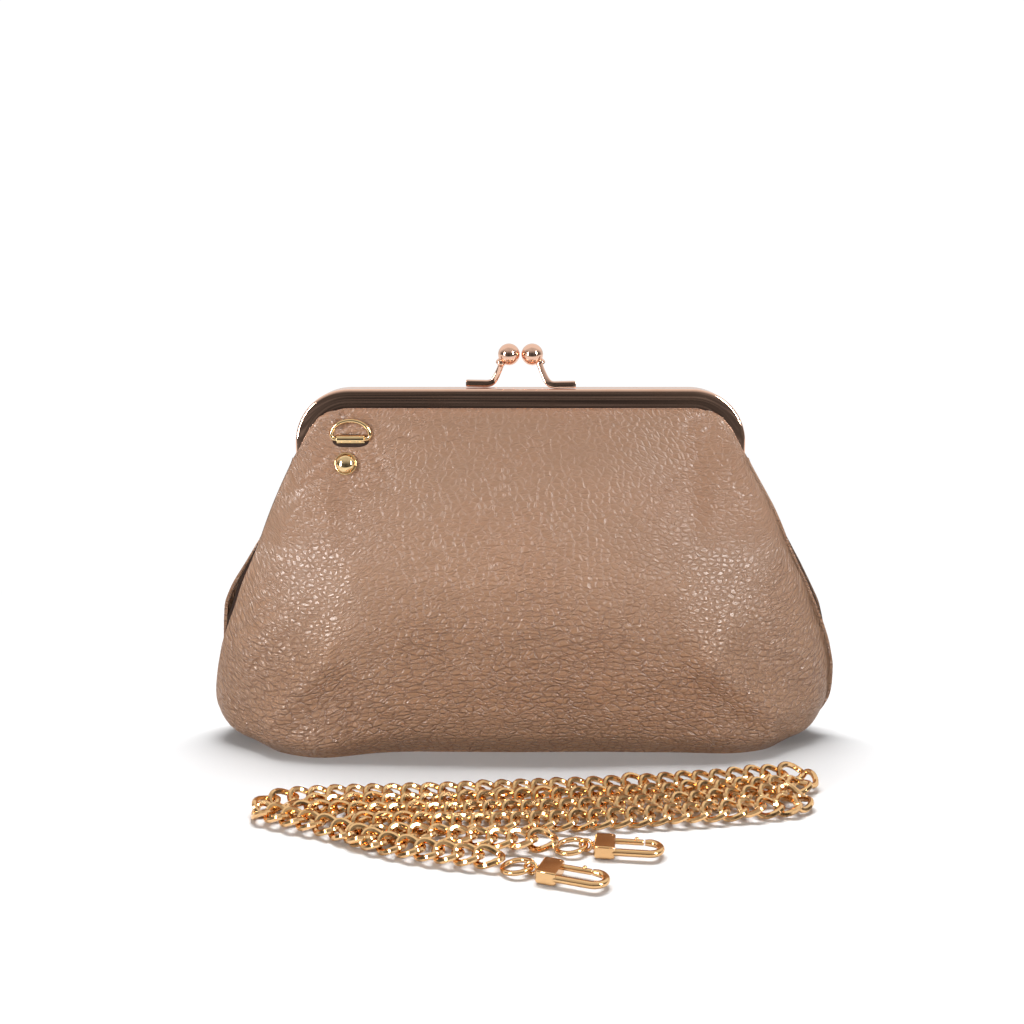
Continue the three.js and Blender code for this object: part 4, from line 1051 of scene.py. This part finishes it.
# ---- clasps
class PURSE_OT_clasps(bpy.types.Operator):
    """Makes the two snap clasps: swivel eye, block and hook, spring gate, gate pin and end ring"""
    bl_idname = "purse.clasps"
    bl_label = "Snap clasps"

    def execute(self, context):
        pin = lathe([(0, -2.3), (0.42, -2.3), (0.5, -2.2), (0.5, 2.2), (0.42, 2.3), (0, 2.3)],
                    (GATE_PIVOT, HOOK_SIDE, 0), (0, 0, 1), 16)
        for name, (place, turn, ring_turn) in CLASPS.items():
            rows = (("eye", self.swivel(), "strap", "swivel"), ("block", self.hook(), name, "hook"),
                    ("spring_gate", self.gate(), f"{name}_lever", "gate"), ("pin", [pin], name, "gate_pin"),
                    ("end_ring", [self.end_ring(place[2], ring_turn)], "strap", "ring"))
            for piece, parts, body, node in rows:
                add_piece(f"{name}_{piece}", parts, "warm", body, (f"{name}_{node}",), turn, place, crease=38)
        return {"FINISHED"}

    @staticmethod
    def end_ring(height, ring_turn):
        """A ring that hangs in the eye at one side and lies on the floor at the other."""
        tilt = math.asin((height - END_WIRE / 2 - 0.1) / (2 * END_RING))
        spin = about_z(ring_turn)
        middle = spin @ [-END_RING * math.cos(tilt), 0, -END_RING * math.sin(tilt)]
        axis = spin @ [-math.sin(tilt), 0, math.cos(tilt)]
        return ring(middle + [EYE_BACK, 0, 0], END_RING, END_WIRE / 2, axis)

    @staticmethod
    def swivel():
        """A small upright eye on a post that turns in the block."""
        post = lathe([(0, -0.4), (0.8, -0.4), (0.8, 2.8), (0.6, 3.0), (0, 3.0)], (-0.2, 0, 0), (1, 0, 0), 20)
        rim = [(0, -0.35), (1.25, -0.35), (1.5, -0.1), (1.5, 0.1), (0, 0.1)]
        collar = lathe(rim, (-0.25, 0, 0), (1, 0, 0), 24)
        return [ring((EYE_BACK, 0, 0), EYE_RADIUS, EYE_WIRE / 2, (0, 1, 0), 32, 12), post, collar]

    @staticmethod
    def hook():
        """A block with chamfered faces, from which the hook's wire runs out and round."""
        half, thick = CLASP_WIDTH / 2, CLASP_THICK / 2
        stations = ((0.0, 0.80, 0.72), (0.35, 0.90, 0.9), (0.9, 0.97, 1.0), (5.6, 1.0, 1.0),
                    (6.4, 0.98, 0.96), (7.0, 0.93, 0.84))
        section = rounded([(-half, -thick), (half, -thick), (half, thick), (-half, thick)], [0.55], 5)
        rows = np.array([np.insert(section * [wide, tall], 0, x, 1) for x, wide, tall in stations])
        bend = np.radians(np.linspace(-90, 90, 30))
        arc = np.stack([HOOK_TIP + HOOK_SIDE * np.cos(bend), HOOK_SIDE * np.sin(bend), 0 * bend], 1)
        line = np.vstack([[(5.8, -HOOK_SIDE, 0), (9.0, -HOOK_SIDE, 0), (HOOK_TIP * 0.75, -HOOK_SIDE, 0)],
                          arc, [(HOOK_TIP - 1.3, HOOK_SIDE, 0)]])
        scale = 1 - 0.16 * smooth(np.linspace(0, 1, 56), 0.93, 1.0)
        wire = sweep(even(line, 56), oval(HOOK_WIRE / 2, HOOK_WIRE / 2, 18), (0, 0, 1), scale=scale)
        return [shell(rows, len(stations), len(section)), wire]

    @staticmethod
    def gate():
        """The gate's rod with rounded ends, its knuckle, and a thumb knob near its free end."""
        r, long = GATE_WIRE / 2, HOOK_TIP - 1.5 - GATE_PIVOT
        rod = lathe([(0, 0), (r * 0.6, 0.1), (r, 0.5), (r, long - 0.5), (r * 0.7, long - 0.1), (0, long)],
                    (GATE_PIVOT, HOOK_SIDE, 0), (1, 0, 0), 22)
        knuckle = lathe([(0, -1.25), (1.0, -1.25), (1.2, -1.05), (1.2, 1.05), (1.0, 1.25), (0, 1.25)],
                        (GATE_PIVOT, HOOK_SIDE, 0), (0, 0, 1), 22)
        return [rod, knuckle, ball((HOOK_TIP - 4.1, HOOK_SIDE, 1.15), 0.75, 10, 16)]


# ---- inside
LINING_WIDTHS = ((0, 113), (3, 119), (9, 125), (20, 127.5), (34, 126.5), (52, 123), (70, 116), (86, 106.5),
    (98, 96), (106, 85.8), (112, 85.2), (148, 85.2))
POCKET_WIDTHS = ((0, 115), (20, 130), (34, 129.5), (52, 126), (70, 118.5), (86, 109), (100, 101))


class PURSE_OT_inside(bpy.types.Operator):
    """Makes the linings, the wadding and the slip pocket, and gives the hidden pieces their finishes"""
    bl_idname = "purse.inside"
    bl_label = "Lining and hidden pieces"

    def execute(self, context):
        for side in SIDES:
            fold_piece(f"{side}_lining", side, self.lining_skin(4.5, 1.85), self.lining_skin(5.0, 2.35),
                       "cloth", (f"{side}_lining_body", f"{side}_lining_throat"))
            fold_piece(f"{side}_felt", side, self.felt_skin(side, 3.2, 0.55), self.felt_skin(side, 4.3, 0.2),
                       "felt", (f"{side}_wadding",))
        hem = sweep(self.pocket_skin(5.98)[-1], oval(0.55, 0.45, 12), (0, 0, 1))
        fold_piece("lining_pocket", "rear", self.pocket_skin(5.75), self.pocket_skin(6.2), "cloth",
                   ("slip_pocket",), [hem])
        hidden = {"base_board": "board", "front_channel_cord": "paper", "rear_channel_cord": "paper"}
        for node, look in hidden.items():
            for place in bpy.data.objects[node].material_slots:
                place.material = finish(look)
        return {"FINISHED"}

    @staticmethod
    def felt_skin(side, inset, least):
        """The wadding's surface: the panel's, drawn in by an inset and kept short of the seams."""
        u = np.sin(np.linspace(-1, 1, 73) * np.pi / 2) * 0.93
        z = np.repeat(np.linspace(10, 97, 36)[:, None], 73, 1)
        x, half = spread(side, u, z)
        return np.stack([x, -np.maximum(panel_depth(x, z, half) - inset, MIDDLE + least), z], -1)

    @staticmethod
    def lining_skin(low_inset, high_inset):
        """The lining's surface: the body's shape, drawn in by an inset that closes up at the frame."""
        rise = np.concatenate([np.linspace(0, 1, 8) ** 1.6 * 10, np.linspace(10, 139, 60)[1:]])
        z = np.repeat(rise[:, None], 73, 1)
        body = curve_of(LINING_WIDTHS, z, 1.2)
        half = np.maximum(body - 5, 40)
        x = half * eased(73)
        inset = high_inset + (low_inset - high_inset) * (1 - smooth(z, 127.5, 138.7))
        shoulder = smooth(z, 78, 92) * (1 - smooth(z, 114, 126)) * smooth(np.abs(x), 46, 72)
        depth = panel_depth(x, z, half + 5) - inset - 4.0 * shoulder
        depth = np.minimum(depth, np.where(z > 104, 5.3 - high_inset + 30 * (1 - smooth(z, 104, 140)), 99))
        depth = np.maximum(depth, MIDDLE + 0.15)
        depth += np.where(z < 95, np.sin(x / 11 + z / 17) * np.sin(z / 9 + 1) * 0.25, 0)
        lift = low_inset * (1 - smooth(z, 0, 34))
        points = np.stack([x, -np.maximum(depth, MIDDLE + 0.1), z + lift], -1)
        top = points[-1:].copy()
        past = np.maximum(np.abs(top[..., 0]) - 69, 0)
        corner = np.sqrt(np.maximum((FRAME_CORNER - 4.1) ** 2 - past ** 2, 0))
        top[..., 2] = np.minimum(143.0, FRAME_TOP - FRAME_CORNER + corner)
        return np.vstack([with_base(points, (0.02, 0.5)), top])

    @staticmethod
    def pocket_skin(inset):
        """The slip pocket's surface over the lining, from 30 to 84 mm high."""
        x, z = np.meshgrid(58 * np.linspace(-1, 1, 49), np.linspace(30, 84, 28))
        half = curve_of(POCKET_WIDTHS, z, 1.5)
        return np.stack([x, inset - panel_depth(x, z, half), z], -1)


STEPS = (PURSE_OT_stage, PURSE_OT_clasps, PURSE_OT_chain, PURSE_OT_leather, PURSE_OT_frame, PURSE_OT_lock,
         PURSE_OT_rings, PURSE_OT_inside)
GROUPS = {"purse_leather": PurseLeatherSettings, "purse_metals": PurseMetalSettings,
          "purse_strap": PurseStrapSettings, "purse_studio": PurseStudioSettings}


class PURSE_PT_sidebar(bpy.types.Panel):
    """Sizes, colours and the steps that build the purse"""
    bl_label = "Frame purse"
    bl_idname = "PURSE_PT_sidebar"
    bl_space_type = "VIEW_3D"
    bl_region_type = "UI"
    bl_category = "Purse"

    def draw(self, context):
        for name, group in GROUPS.items():
            box = self.layout.box()
            for setting in group.__annotations__:
                box.prop(getattr(context.scene, name), setting)
        for step in STEPS:
            self.layout.operator(step.bl_idname)


CLASSES = (*GROUPS.values(), *STEPS, PURSE_PT_sidebar)


def register():
    for each in CLASSES:
        bpy.utils.register_class(each)
    for name, group in GROUPS.items():
        setattr(bpy.types.Scene, name, PointerProperty(type=group))


def unregister():
    for name in GROUPS:
        delattr(bpy.types.Scene, name)
    for each in reversed(CLASSES):
        bpy.utils.unregister_class(each)


def main():
    register()
    bpy.ops.purse.stage()
    bpy.ops.purse.clasps()
    bpy.ops.purse.chain()
    bpy.ops.purse.leather()
    bpy.ops.purse.frame_halves()
    bpy.ops.purse.kiss_lock()
    bpy.ops.purse.ring_fittings()
    bpy.ops.purse.inside()


if __name__ == "__main__":
    main()
